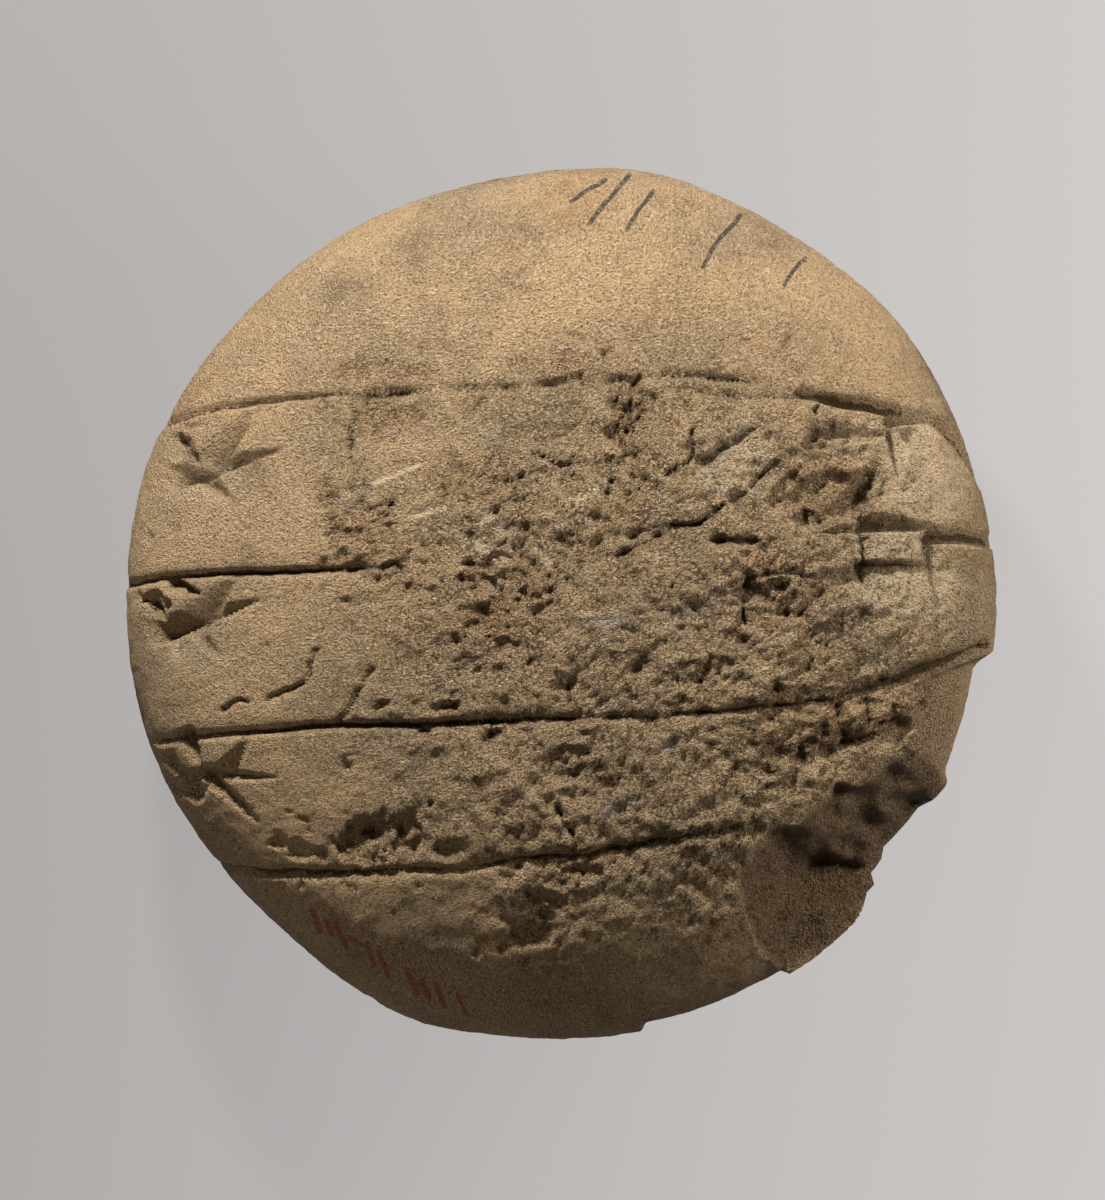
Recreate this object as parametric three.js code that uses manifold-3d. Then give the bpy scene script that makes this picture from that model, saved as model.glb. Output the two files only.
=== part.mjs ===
// A round school tablet of clay: a hand-shaped lens with four ruled lines, rows of wedge strokes pressed
// between them, flaked and pitted clay, and one broken edge. Millimetres, +Z up, written side up.
// The origin is the middle of the small flat spot that it rests on.
import * as THREE from "three";
import { LoftGeometry } from "three/addons/geometries/LoftGeometry.js";
import { mergeVertices } from "three/addons/utils/BufferGeometryUtils.js";
import Module from "manifold-3d";

const wasm = await Module();
wasm.setup();

// Driving dimensions.
const DIAMETER = 83.6;
const THICKNESS = 32;
const RIM_HEIGHT = 0.44 * THICKNESS; // the widest line, above the surface that the tablet rests on
const DOME_FULLNESS = 2.3; // exponent of the written side's profile: 2 is an ellipse, more is flatter on top
const BELLY_FULLNESS = 2.05;
const REST_SPOT_RADIUS = 0.17 * DIAMETER;
const HAND_UNEVENNESS = 0.22; // how far the thumbed surface rises and falls

const RADIUS = DIAMETER / 2;
const DOME_HEIGHT = THICKNESS - RIM_HEIGHT;
const BELLY_DEPTH = RIM_HEIGHT / (1 - (REST_SPOT_RADIUS / RADIUS) ** BELLY_FULLNESS) ** (1 / BELLY_FULLNESS);
const PIT_LUMPS = 0.22; // how lumpy the pits are, as a share of their size
const LIFT = 1.2; // cutters stand this far out of the skin
const FAR = 2 * DIAMETER; // past everything

// Soft swellings and flats of the hand-rolled outline: direction, spread in degrees, rise in millimetres.
const SWELLINGS = [
  { at: 40, spread: 10, rise: 0.4 },
  { at: 78, spread: 9, rise: 0.6 },
  { at: 105, spread: 15, rise: -0.55 },
  { at: 134, spread: 16, rise: -0.6 },
  { at: 163, spread: 12, rise: 0.2 },
  { at: 225, spread: 16, rise: -0.6 },
  { at: 250, spread: 10, rise: 0.6 },
];

// The ruled lines, top to bottom: points that each line was drawn through, its width and depth.
const RULED_LINES = [
  { through: [[-39.6, 16.6], [-30, 19.2], [-15.5, 20.1], [3.7, 21.1], [19.6, 21.2]], width: 1.5, depth: 1.0 },
  { through: [[19.0, 21.3], [24.5, 19.5], [31.5, 18.0], [35.5, 17.6], [40.6, 12.4]], width: 2.2, depth: 1.4 },
  { through: [[-41.4, 1.8], [-30.4, 2.9], [-22, 3.2], [-14.5, 3.7]], width: 1.4, depth: 1.1 },
  { through: [[14.2, 6.0], [22.9, 6.4], [30, 6.9], [36, 6.6], [41.3, 6.0]], width: 1.5, depth: 1.2 },
  { through: [[-39.4, -13.4], [-27, -12.3], [-10, -11.5], [10, -11], [27.5, -8.8]], width: 1.2, depth: 1.2 },
  { through: [[27, -8.8], [33.4, -7.0], [40.2, -4.6]], width: 2.4, depth: 1.8 },
  { through: [[-33.6, -25], [-20, -25.8], [-9, -25.3], [4, -23.8], [16.5, -21.4]], width: 1.2, depth: 1.2 },
];

// A fan of pressed strokes: tails [direction in degrees, length] that spread from one deep head.
const FANS = [
  { at: [-36.4, 12.6], tails: [[43, 8.8], [14, 11], [-33, 5.8], [112, 3.6]], width: 2.7, depth: 1.3 },
  { at: [-37.6, -1.7], tails: [[42, 8.2], [14, 9.8], [-42, 6.4], [96, 3.6]], width: 3.0, depth: 1.9 },
  { at: [-35.9, -16.2], tails: [[34, 6.4], [-3, 8.6], [-38, 8], [118, 3.2]], width: 2.7, depth: 1.8 },
];

// Single strokes at the right: head, direction in degrees, length, width and depth.
const STROKES = [
  { at: [13.4, 12.8], towards: 33, length: 8, width: 3.2, depth: 0.9 },
  { at: [18.4, 10.2], towards: 48, length: 6, width: 2.6, depth: 0.8 },
  { at: [24.0, 14.4], towards: 8, length: 8, width: 1.9, depth: 1.1 },
  { at: [32.2, 18.2], towards: -82, length: 6.4, width: 3.0, depth: 1.3 },
  { at: [28.6, 7.6], towards: 1, length: 7.4, width: 2.4, depth: 1.6 },
  { at: [28.6, 2.9], towards: 4, length: 7.6, width: 1.9, depth: 1.2 },
  { at: [27.0, -12.9], towards: 14, length: 6, width: 2.2, depth: 1.5 },
  { at: [22.4, -8.9], towards: -84, length: 7, width: 2.2, depth: 0.7 },
];

// Places where a layer has flaked away: corners of its outline in plan and the depth lost.
const FLAKES = [
  { outline: [[-19.7, 19.2], [7.4, 20.4], [7.6, 13], [13, 9.6], [2, 0.8], [-14.8, 3.4]], depth: 0.6 },
  { outline: [[17.2, 2.4], [29, 3.6], [29, -2.4], [22, -7.4], [16.2, -4.2]], depth: 0.5 },
  { outline: [[24.6, 12.6], [30.2, 12.8], [29, 8], [22.4, 6.6], [20, 9.4]], depth: 0.7 },
  { outline: [[34.2, -7.6], [37, -6.2], [44, -4.2], [44, -24], [34.4, -15]], depth: 2.1 },
  { outline: [[7.6, -40.2], [12.5, -37.4], [19.6, -32.6], [23.4, -38.4], [16, -43], [7.6, -44]], depth: 0.8 },
];

// Pits: where, half-length and half-width, direction of the length in degrees, and depth.
const PITS = [
  { at: [-5.4, 1.6], reach: [4.6, 3.6], turned: 60, depth: 1.1 },
  { at: [-17.0, -22.6], reach: [4.6, 2.6], turned: 14, depth: 2.0 },
  { at: [-2.6, -30.4], reach: [3.6, 2.6], turned: 20, depth: 1.7 },
  { at: [0.6, -16.2], reach: [2.6, 1.6], turned: 20, depth: 1.2 },
  { at: [24.4, -14.2], reach: [4.2, 2.4], turned: 20, depth: 1.4 },
  { at: [6.9, 16.6], reach: [3.8, 1.5], turned: 78, depth: 0.9 },
];

// The broken edge: the skin's last corner, the two ragged edges that run from it, and the fall of the
// fracture behind them, which steps down in ledges to a shelf near the rim.
const FRACTURE = {
  corner: [15.2, -23.8],
  upperEdge: 29.5, // direction of the upper edge from the corner, degrees
  lowerEdge: -68,
  slope: 2.3,
  ledge: 0.75,
  ledgeSpacing: 6,
  raggedness: 0.8,
  shelf: { at: [26, -32], height: 0.2, fall: 0.6 }, // height is from the widest line
};

const radians = THREE.MathUtils.degToRad;

// The rise and fall of thumbed clay: slow waves across the plan.
function unevenness(x, y) {
  return HAND_UNEVENNESS * (Math.sin(x / 7 + 1) * Math.cos(y / 9) + 0.6 * Math.sin(y / 5.2 + x / 11));
}

// Radius of the widest line in a direction: a circle with its swellings, each a bell curve of the angle.
function outlineRadius(angle) {
  const turn = Math.PI * 2;
  const swell = ({ at, spread, rise }) => {
    const away = THREE.MathUtils.euclideanModulo(angle - radians(at) + Math.PI, turn) - Math.PI;
    return rise * Math.exp(-((away / radians(spread)) ** 2));
  };
  return RADIUS + SWELLINGS.reduce((sum, swelling) => sum + swell(swelling), 0);
}

// Height of the written side above the widest line, at a share of the outline's radius.
function domeHeight(share) {
  return DOME_HEIGHT * (1 - Math.min(share, 1) ** DOME_FULLNESS) ** (1 / DOME_FULLNESS);
}

// A point of the written side and the skin's outward normal there, from its place in plan.
function onWrittenSide(x, y) {
  const radius = outlineRadius(Math.atan2(y, x));
  const share = Math.min(Math.hypot(x, y) / radius, 0.998);
  const height = domeHeight(share);
  const outward = share ** (DOME_FULLNESS - 1) / radius;
  const upward = (height / DOME_HEIGHT) ** (DOME_FULLNESS - 1) / DOME_HEIGHT;
  const flat = new THREE.Vector3(x, y, 0).setLength(share * radius);
  const normal = flat.clone().setLength(outward).setZ(upward).normalize();
  const point = flat.setZ(RIM_HEIGHT + height).addScaledVector(normal, unevenness(x, y));
  return { point, normal };
}

// The whole skin as one closed mesh: a box whose upper face is spread over the written side, whose walls
// roll round the rim and whose lower face is spread over the belly.
function skin() {
  const across = 29;
  const roundTheRim = 6;
  const faceTilt = Math.asin(0.93); // how far round the upper and lower faces reach
  const geometry = new THREE.BoxGeometry(2, 2, 2, across, across, roundTheRim);
  const place = geometry.getAttribute("position");
  const p = new THREE.Vector3();
  for (let i = 0; i < place.count; i++) {
    p.fromBufferAttribute(place, i);
    const ring = Math.max(Math.abs(p.x), Math.abs(p.y));
    const angle = ringAngle(p.x, p.y, ring);
    const onFace = Math.abs(p.z) > 1 - 1e-6;
    const onWall = THREE.MathUtils.lerp(Math.PI / 2, faceTilt, Math.abs(p.z));
    const tilt = onFace ? Math.asin(Math.sin(faceTilt) * ring) : onWall;
    skinPoint(angle, tilt, p.z > 0, p);
    place.setXYZ(i, p.x, p.y, p.z);
  }
  return solid(geometry);
}

// Direction of a point of a square grid once the square is rounded to a disc: each side of the square
// becomes a quarter of the circle.
function ringAngle(x, y, ring) {
  if (ring === 0) return 0;
  const quarter = Math.PI / 4;
  if (Math.abs(x) >= Math.abs(y)) return x > 0 ? quarter * (y / x) : Math.PI + quarter * (y / x);
  return y > 0 ? Math.PI / 2 - quarter * (x / y) : -Math.PI / 2 - quarter * (x / y);
}

// A skin point by direction and tilt, where tilt 0 is the middle of a face and a quarter turn is the rim.
function skinPoint(angle, tilt, written, target) {
  const fullness = written ? DOME_FULLNESS : BELLY_FULLNESS;
  const height = written ? DOME_HEIGHT : BELLY_DEPTH;
  const out = outlineRadius(angle) * Math.sin(tilt) ** (2 / fullness);
  const rise = height * Math.max(Math.cos(tilt), 0) ** (2 / fullness);
  const [x, y] = [out * Math.cos(angle), out * Math.sin(angle)];
  const wave = written ? unevenness(x, y) * Math.cos(tilt) : 0;
  return target.set(x, y, Math.max(RIM_HEIGHT + (written ? rise + wave : -rise), 0));
}

// A closed geometry as a manifold-3d solid, with its shared vertices merged.
function solid(geometry) {
  const bare = geometry.index ? geometry.toNonIndexed() : geometry.clone();
  bare.deleteAttribute("normal");
  bare.deleteAttribute("uv");
  const merged = mergeVertices(bare, 1e-4);
  const vertProperties = merged.getAttribute("position").array;
  const triVerts = new Uint32Array(merged.index.array);
  return new wasm.Manifold(new wasm.Mesh({ numProp: 3, vertProperties, triVerts }));
}

// A V-shaped cutter laid along the written side: at each stop a plan point, half-width and depth.
function vCutter(stops) {
  const sections = stops.map(({ at, halfWidth, depth }, i) => {
    const before = stops[Math.max(i - 1, 0)].at;
    const after = stops[Math.min(i + 1, stops.length - 1)].at;
    const { point, normal } = onWrittenSide(...at);
    const along = onWrittenSide(...after).point.sub(onWrittenSide(...before).point);
    const side = new THREE.Vector3().crossVectors(normal, along).normalize();
    const reach = halfWidth * (1 + LIFT / depth);
    const top = point.clone().addScaledVector(normal, LIFT);
    return [
      top.clone().addScaledVector(side, reach),
      top.clone().addScaledVector(side, -reach),
      point.clone().addScaledVector(normal, -depth),
    ];
  });
  return solid(new LoftGeometry(sections, { capStart: true, capEnd: true }));
}

// A ruled line: the V follows a smooth curve through the points and thins out at both ends.
function ruledLine({ through, width, depth }) {
  const curve = new THREE.SplineCurve(through.map(([x, y]) => new THREE.Vector2(x, y)));
  const stops = curve.getSpacedPoints(3 * through.length).map((p, i, all) => {
    const thinning = 0.55 + 0.45 * Math.sin((Math.PI * i) / (all.length - 1));
    return { at: [p.x, p.y], halfWidth: (width / 2) * thinning, depth: depth * thinning };
  });
  return vCutter(stops);
}

// A wedge stroke: it starts at a point, is widest and deepest just behind it, and runs out in a thin tail.
function stroke({ at, towards, length, width, depth }) {
  const profile = [
    { along: -0.06, size: 0.12 },
    { along: 0.14, size: 1 },
    { along: 0.5, size: 0.52 },
    { along: 1, size: 0.06 },
  ];
  const [dx, dy] = [Math.cos(radians(towards)), Math.sin(radians(towards))];
  return vCutter(
    profile.map(({ along, size }) => ({
      at: [at[0] + along * length * dx, at[1] + along * length * dy],
      halfWidth: (width / 2) * size,
      depth: depth * size,
    })),
  );
}

function fan({ at, tails, width, depth }) {
  return tails.map(([towards, length]) => stroke({ at, towards, length, width, depth }));
}

// A flake: what sticks out, inside its outline in plan, when the whole tablet is pushed inwards there.
function flake({ outline, depth }) {
  const corners = outline.map(([x, y]) => new THREE.Vector2(x, y));
  const column = new THREE.ExtrudeGeometry(new THREE.Shape(corners), { depth: FAR, bevelEnabled: false });
  column.translate(0, 0, -FAR / 2);
  const total = corners.reduce((sum, corner) => sum.add(corner), new THREE.Vector2());
  const { normal } = onWrittenSide(total.x / corners.length, total.y / corners.length);
  return solid(column).subtract(wholeTablet.translate(...normal.multiplyScalar(-depth)));
}

// A pit: a squashed, lumpy ball of few faces, sunk in the skin along its normal.
function pit({ at, reach, turned, depth }) {
  const { point, normal } = onWrittenSide(...at);
  const ball = new THREE.IcosahedronGeometry(1, 1);
  const place = ball.getAttribute("position");
  const p = new THREE.Vector3();
  for (let i = 0; i < place.count; i++) {
    p.fromBufferAttribute(place, i);
    p.multiplyScalar(1 + PIT_LUMPS * torn(4 * p.x + at[0], 4 * (p.y + p.z) + at[1]));
    place.setXYZ(i, p.x, p.y, p.z);
  }
  ball.scale(reach[0], reach[1], depth);
  ball.rotateZ(radians(turned));
  ball.applyQuaternion(new THREE.Quaternion().setFromUnitVectors(new THREE.Vector3(0, 0, 1), normal));
  ball.translate(...point);
  return solid(ball);
}

// How far a plan point lies past both edges of the break, with the raggedness of torn clay.
function pastTheBreak(x, y) {
  const { corner, upperEdge, lowerEdge, raggedness } = FRACTURE;
  const [dx, dy] = [x - corner[0], y - corner[1]];
  const pastUpper = dx * Math.sin(radians(upperEdge)) - dy * Math.cos(radians(upperEdge));
  const pastLower = -dx * Math.sin(radians(lowerEdge)) + dy * Math.cos(radians(lowerEdge));
  return Math.min(pastUpper, pastLower) + raggedness * torn(x, y);
}

// Waves of two sizes that cross each other, for edges and faces torn through clay.
function torn(x, y) {
  const wide = Math.sin(0.55 * x + 1.3) * Math.sin(0.7 * y);
  return wide + 0.45 * Math.sin(1.35 * x + y) * Math.sin(1.5 * y - 0.8 * x + 2);
}

// Height of the fracture: it falls from the skin in steps, and no lower than the sloping shelf.
function fractureHeight(x, y) {
  const { slope, ledge, ledgeSpacing, raggedness, shelf } = FRACTURE;
  const past = pastTheBreak(x, y);
  const skinHeight = RIM_HEIGHT + domeHeight(Math.hypot(x, y) / outlineRadius(Math.atan2(y, x)));
  if (past < 0) return skinHeight + 1 - 2 * past;
  const drop = slope * past + ledge * Math.sin((2 * Math.PI * past) / ledgeSpacing);
  const heading = radians(FRACTURE.upperEdge);
  const along = (x - shelf.at[0]) * Math.cos(heading) + (y - shelf.at[1]) * Math.sin(heading);
  const shelfHeight = RIM_HEIGHT + shelf.height - shelf.fall * along + raggedness * torn(y, x);
  return Math.max(skinHeight - drop, shelfHeight);
}

// The cutter for the break: a block over that corner, with its underside at the fracture's height.
// Its rows run along the upper edge, as the ledges do.
function breakCutter() {
  const block = new THREE.BoxGeometry(44, 34, 1, 20, 22, 1);
  block.rotateZ(radians(FRACTURE.upperEdge));
  block.translate(27, -25, 0);
  const place = block.getAttribute("position");
  for (let i = 0; i < place.count; i++) {
    const [x, y] = [place.getX(i), place.getY(i)];
    place.setXYZ(i, x, y, place.getZ(i) > 0 ? FAR : fractureHeight(x, y));
  }
  return solid(block);
}

const wholeTablet = skin();

function tabletSolid() {
  const cutters = [
    breakCutter(),
    ...FLAKES.map(flake),
    ...PITS.map(pit),
    ...RULED_LINES.map(ruledLine),
    ...FANS.flatMap(fan),
    ...STROKES.map(stroke),
  ];
  return wholeTablet.subtract(wasm.Manifold.union(cutters));
}

// The solid's largest body as three.js geometry, so that no crumb left by a cut stays behind.
function geometryOf(made) {
  const [body] = made.decompose().sort((a, b) => b.volume() - a.volume());
  const mesh = body.getMesh();
  const geometry = new THREE.BufferGeometry();
  geometry.setAttribute("position", new THREE.BufferAttribute(mesh.vertProperties, 3));
  geometry.setIndex(new THREE.BufferAttribute(mesh.triVerts, 1));
  geometry.computeVertexNormals();
  return geometry;
}

const clay = new THREE.MeshStandardMaterial({ color: 0xa98c66, roughness: 0.92, metalness: 0 });

const tablet = new THREE.Mesh(geometryOf(tabletSolid()), clay);
tablet.name = "tablet";
tablet.geometry.computeBoundingBox();
const middle = tablet.geometry.boundingBox.getCenter(new THREE.Vector3());
tablet.position.set(-middle.x, -middle.y, 0);

const part = new THREE.Group();
part.add(tablet);
export default part;
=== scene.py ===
"""Dresses the packed clay tablet as a worn, round school tablet.

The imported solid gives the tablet's size and place. One closed mesh stands for it: a hand-shaped lens whose
written side carries ruled lines, pressed wedge strokes, flaked and crumbled clay, hollows, cracks and a
broken edge. Lengths in the tables are millimetres of the drawn tablet, with the origin under its middle,
+X along the ruled lines and +Y towards the first line; Tablet.build brings them to the frame's metres.
"""

import logging
import math
from collections.abc import Iterable
from dataclasses import dataclass
from enum import Enum
from functools import reduce
from typing import Any

import bpy
import numpy as np
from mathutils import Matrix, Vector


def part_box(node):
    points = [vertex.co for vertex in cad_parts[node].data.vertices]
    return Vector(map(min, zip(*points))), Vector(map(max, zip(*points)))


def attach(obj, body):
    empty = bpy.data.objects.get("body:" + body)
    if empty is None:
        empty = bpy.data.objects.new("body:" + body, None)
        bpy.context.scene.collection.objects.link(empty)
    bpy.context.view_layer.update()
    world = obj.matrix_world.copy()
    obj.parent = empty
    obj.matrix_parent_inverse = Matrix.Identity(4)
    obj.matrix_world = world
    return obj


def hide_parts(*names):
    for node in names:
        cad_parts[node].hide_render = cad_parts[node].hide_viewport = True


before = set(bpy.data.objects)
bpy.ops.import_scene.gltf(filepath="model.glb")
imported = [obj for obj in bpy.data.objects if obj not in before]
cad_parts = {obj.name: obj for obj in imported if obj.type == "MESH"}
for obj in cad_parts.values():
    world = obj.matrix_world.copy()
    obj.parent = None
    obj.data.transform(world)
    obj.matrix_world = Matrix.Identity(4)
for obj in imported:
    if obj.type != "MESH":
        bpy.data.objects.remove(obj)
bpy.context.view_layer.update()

Array = np.ndarray
Place = tuple[float, float]
Colour = tuple[float, float, float, float]

log = logging.getLogger("tablet")


def smooth_step(value: Array, low: float, high: float) -> Array:
    """Blend from 0 at low to 1 at high: t * t * (3 - 2 * t), where t runs evenly between them.

    Args:
        value: Numbers to blend.
        low: Value that gives 0.
        high: Value that gives 1.

    Returns:
        Numbers from 0 to 1.
    """
    t = np.clip((value - low) / (high - low), 0.0, 1.0)
    return t * t * (3.0 - 2.0 * t)


def terraced(value: Array, steps: float) -> Array:
    """Turn smooth noise into flats joined by short steep slopes, as where thin layers broke away.

    Args:
        value: Smooth noise.
        steps: Number of flats for each unit of the noise.

    Returns:
        The terraced noise.
    """
    flat = np.floor(value * steps)
    return (flat + smooth_step(value * steps - flat, 0.0, 0.3)) / steps


def turned(places: Array, at: Place, degrees: float) -> tuple[Array, Array]:
    """Coordinates of plan places along and across a direction, from a point.

    Args:
        places: Plan places, one row each.
        at: The point that becomes the origin.
        degrees: The direction, anticlockwise from +X.

    Returns:
        Distance along the direction and distance to its left.
    """
    cosine, sine = math.cos(math.radians(degrees)), math.sin(math.radians(degrees))
    x, y = places[:, 0] - at[0], places[:, 1] - at[1]
    return x * cosine + y * sine, y * cosine - x * sine


def smooth_path(through: tuple[Place, ...], steps: int = 6) -> Array:
    """A smooth path through points: between two points, the Catmull-Rom cubic of the four around them.

    Args:
        through: Points that the path passes.
        steps: Pieces between two points.

    Returns:
        Points of the path, one row each.
    """
    knots = np.array(through, float)
    knots = np.vstack([knots[:1], knots, knots[-1:]])
    t = (np.arange(steps) / steps)[None, :, None]
    before, start, end, after = (knots[i : len(knots) - 3 + i][:, None, :] for i in range(4))
    first = (end - before) / 2.0
    second = (after - start) / 2.0
    cubic = (2 * start - 2 * end + first + second) * t**3
    square = (-3 * start + 3 * end - 2 * first - second) * t**2
    return np.vstack([(cubic + square + first * t + start).reshape(-1, 2), knots[-1:]])


def beside(places: Array, path: Array, reach: float = math.inf) -> tuple[Array, Array, Array]:
    """Where plan places lie beside a path, for the places within reach of the path's box.

    Each place takes its nearest piece of the path. Its distance is signed: positive to the left of the
    path's direction.

    Args:
        places: Plan places, one row each.
        path: Points of the path, one row each.
        reach: How far from the path places matter.

    Returns:
        Rows of the places that are near, their signed distances, and their shares of the path's length.
    """
    rows = np.nonzero(((places > path.min(0) - reach) & (places < path.max(0) + reach)).all(1))[0]
    start, step = path[:-1], np.diff(path, axis=0)
    length = np.hypot(step[:, 0], step[:, 1])
    away = places[rows][:, None, :] - start[None]
    along = np.clip((away * step).sum(2) / length**2, 0.0, 1.0)
    apart = away - along[..., None] * step
    distance = np.hypot(apart[..., 0], apart[..., 1])
    nearest = distance.argmin(1)
    each = np.arange(len(rows))
    left = step[nearest, 0] * away[each, nearest, 1] - step[nearest, 1] * away[each, nearest, 0]
    passed = np.concatenate([[0.0], np.cumsum(length)])
    share = (passed[nearest] + along[each, nearest] * length[nearest]) / passed[-1]
    return rows, distance[each, nearest] * np.where(left >= 0.0, 1.0, -1.0), share


def deepest(depths: Iterable[Array]) -> Array:
    """Largest of several depths at each place, and at least 0."""
    return reduce(np.maximum, depths, 0.0)


def put(name: str, data: bpy.types.ID) -> bpy.types.Object:
    """Put a new object with the given mesh, light or camera into the scene.

    Args:
        name: Name of the object.
        data: What it carries.

    Returns:
        The object.
    """
    made = bpy.data.objects.new(name, data)
    bpy.context.scene.collection.objects.link(made)
    return made


@dataclass(frozen=True)
class Grain:
    """Seeded noise in space, the same on every run; the shifts keep its lattices apart."""

    seed: int
    draws: int = 8192
    smooth_shift: float = 31.7
    lump_shift: float = 17.3
    layer_shift: float = 5.3
    cell_keys: tuple[int, int, int] = (73856093, 19349663, 83492791)
    skew: tuple[tuple[float, float, float], ...] = ((0.8, 0.6, 0.0), (-0.6, 0.8, 0.0), (0.0, 0.0, 1.0))

    def _draw(self, cell: Array, which: int) -> Array:
        """A number from 0 to 1 for each lattice cell, looked up in a seeded table of random numbers.

        Args:
            cell: Whole-number cells, one row each.
            which: Which of several independent draws to take.

        Returns:
            One number for each cell.
        """
        table = np.random.default_rng(self.seed + which).random(self.draws)
        key = np.bitwise_xor.reduce(cell * np.array(self.cell_keys), axis=-1)
        return table[key & (self.draws - 1)]

    def smooth(self, points: Array, size: float) -> Array:
        """Smooth noise from -1 to 1: corner draws of a lattice, blended along each axis.

        Args:
            points: Points in space, one row each.
            size: Width of a lattice cell.

        Returns:
            One number for each point.
        """
        scaled = points / size + self.smooth_shift
        cell = np.floor(scaled).astype(np.int64)
        part = scaled - cell
        blend = part * part * part * (part * (part * 6.0 - 15.0) + 10.0)
        total = np.zeros(len(points))
        for corner in np.ndindex(2, 2, 2):
            weight = np.where(np.array(corner) == 1, blend, 1.0 - blend).prod(1)
            total += weight * self._draw(cell + np.array(corner), 0)
        return total * 2.0 - 1.0

    def layered(self, points: Array, size: float, layers: int = 3, fall: float = 0.55) -> Array:
        """Smooth noise in layers, each turned, half as wide as the last and weaker by the same factor.

        Args:
            points: Points in space, one row each.
            size: Width of the widest layer.
            layers: Number of layers.
            fall: Strength of each layer as a share of the one before.

        Returns:
            One number for each point, mostly from -1 to 1.
        """
        total = np.zeros(len(points))
        for layer in range(layers):
            points = points @ np.array(self.skew) + layer * self.layer_shift
            total += fall**layer * self.smooth(points, size / 2**layer)
        return total

    def lumps(self, points: Array, size: float) -> Array:
        """Distance to the nearest of points scattered one to a cell, as a share of the cell.

        Args:
            points: Points in space, one row each.
            size: Width of a cell.

        Returns:
            One number for each point, from 0 on a scattered point to about 1.
        """
        scaled = points / size + self.lump_shift
        cell = np.floor(scaled).astype(np.int64)
        nearest = np.full(len(points), math.inf)
        for offset in np.ndindex(3, 3, 3):
            other = cell + np.array(offset) - 1
            seat = other + np.stack([self._draw(other, which) for which in (1, 2, 3)], axis=-1)
            nearest = np.minimum(nearest, ((scaled - seat) ** 2).sum(1))
        return np.sqrt(nearest)


@dataclass(frozen=True)
class Skin:
    """The tablet's outer form before any stroke or damage: a lens with a superellipse profile.

    Each of the outline's soft swellings and flats has its direction and spread in degrees, and its rise.
    """

    diameter: float = 83.6
    thickness: float = 32.0
    rim_share: float = 0.44
    dome_fullness: float = 2.3
    belly_fullness: float = 2.05
    rest_share: float = 0.17
    unevenness: float = 0.22
    swellings: tuple[tuple[float, float, float], ...] = (
        (40, 10, 0.4), (78, 9, 0.6), (105, 15, -0.55), (134, 16, -0.6),
        (163, 12, 0.2), (225, 16, -0.6), (250, 10, 0.6),
    )

    @property
    def radius(self) -> float:
        """Radius of the plain circle under the swellings."""
        return self.diameter / 2.0

    @property
    def rim_height(self) -> float:
        """Height of the widest line above the surface that the tablet lies on."""
        return self.rim_share * self.thickness

    @property
    def dome_height(self) -> float:
        """Height of the written side above the widest line."""
        return self.thickness - self.rim_height

    @property
    def belly_depth(self) -> float:
        """Depth of the whole belly below the widest line, before the rest spot cuts it off."""
        share = 2.0 * self.rest_share
        return self.rim_height / (1.0 - share**self.belly_fullness) ** (1.0 / self.belly_fullness)

    def outline(self, angle: Array) -> Array:
        """Radius of the widest line: the circle, and rise * exp(-(away / spread) ** 2) of each swelling.

        Args:
            angle: Directions in radians.

        Returns:
            Radius in each direction.
        """
        swell = 0.0
        for direction, spread, rise in self.swellings:
            away = (np.degrees(angle) - direction + 180.0) % 360.0 - 180.0
            swell += rise * np.exp(-((away / spread) ** 2))
        return self.radius + swell

    def dome(self, x: Array, y: Array) -> Array:
        """Height of the written side over plan places: rim + dome * (1 - share ** f) ** (1 / f).

        Args:
            x: Plan places along +X.
            y: Plan places along +Y.

        Returns:
            Heights above the surface that the tablet lies on.
        """
        share = np.minimum(np.hypot(x, y) / self.outline(np.arctan2(y, x)), 1.0)
        rise = (1.0 - share**self.dome_fullness) ** (1.0 / self.dome_fullness)
        return self.rim_height + self.dome_height * rise

    def form(self, angle: Array, tilt: Array) -> tuple[Array, Array, Array]:
        """The skin by direction and tilt from the top.

        Shares of the radius and of the height are the sine and the size of the cosine, raised to
        2 / fullness, so that their powers of fullness add up to 1, as on a superellipse. Slow waves of
        thumbed clay ride on it. The normals are the gradient of the superellipse. Past the widest line
        the plan places go on outwards, by the way round the rim.

        Args:
            angle: Directions in radians.
            tilt: Angles from the middle of the written side, past a quarter turn on the belly.

        Returns:
            Points, outward unit normals and unfolded plan places, one row each.
        """
        written = tilt <= math.pi / 2
        fullness = np.where(written, self.dome_fullness, self.belly_fullness)
        out = np.clip(np.sin(tilt), 0.0, 1.0) ** (2.0 / fullness)
        up = np.abs(np.cos(tilt)) ** (2.0 / fullness)
        outline = self.outline(angle)
        reach = outline * out
        x, y = reach * np.cos(angle), reach * np.sin(angle)
        wave = np.sin(x / 7 + 1) * np.cos(y / 9) + 0.6 * np.sin(y / 5.2 + x / 11)
        rise = self.dome_height * up + self.unevenness * wave * np.cos(tilt)
        z = self.rim_height + np.where(written, rise, -self.belly_depth * up)
        outward = out ** (fullness - 1.0) / outline
        height = np.where(written, self.dome_height, self.belly_depth)
        upward = np.where(written, 1.0, -1.0) * up ** (fullness - 1.0) / height
        gradient = np.stack([outward * np.cos(angle), outward * np.sin(angle), upward], axis=1)
        spread = np.where(written, reach, outline + ((1.0 - out) * self.radius + up * self.belly_depth))
        return (
            np.stack([x, y, np.maximum(z, 0.0)], axis=1),
            gradient / np.linalg.norm(gradient, axis=1, keepdims=True),
            np.stack([spread * np.cos(angle), spread * np.sin(angle)], axis=1),
        )


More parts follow.
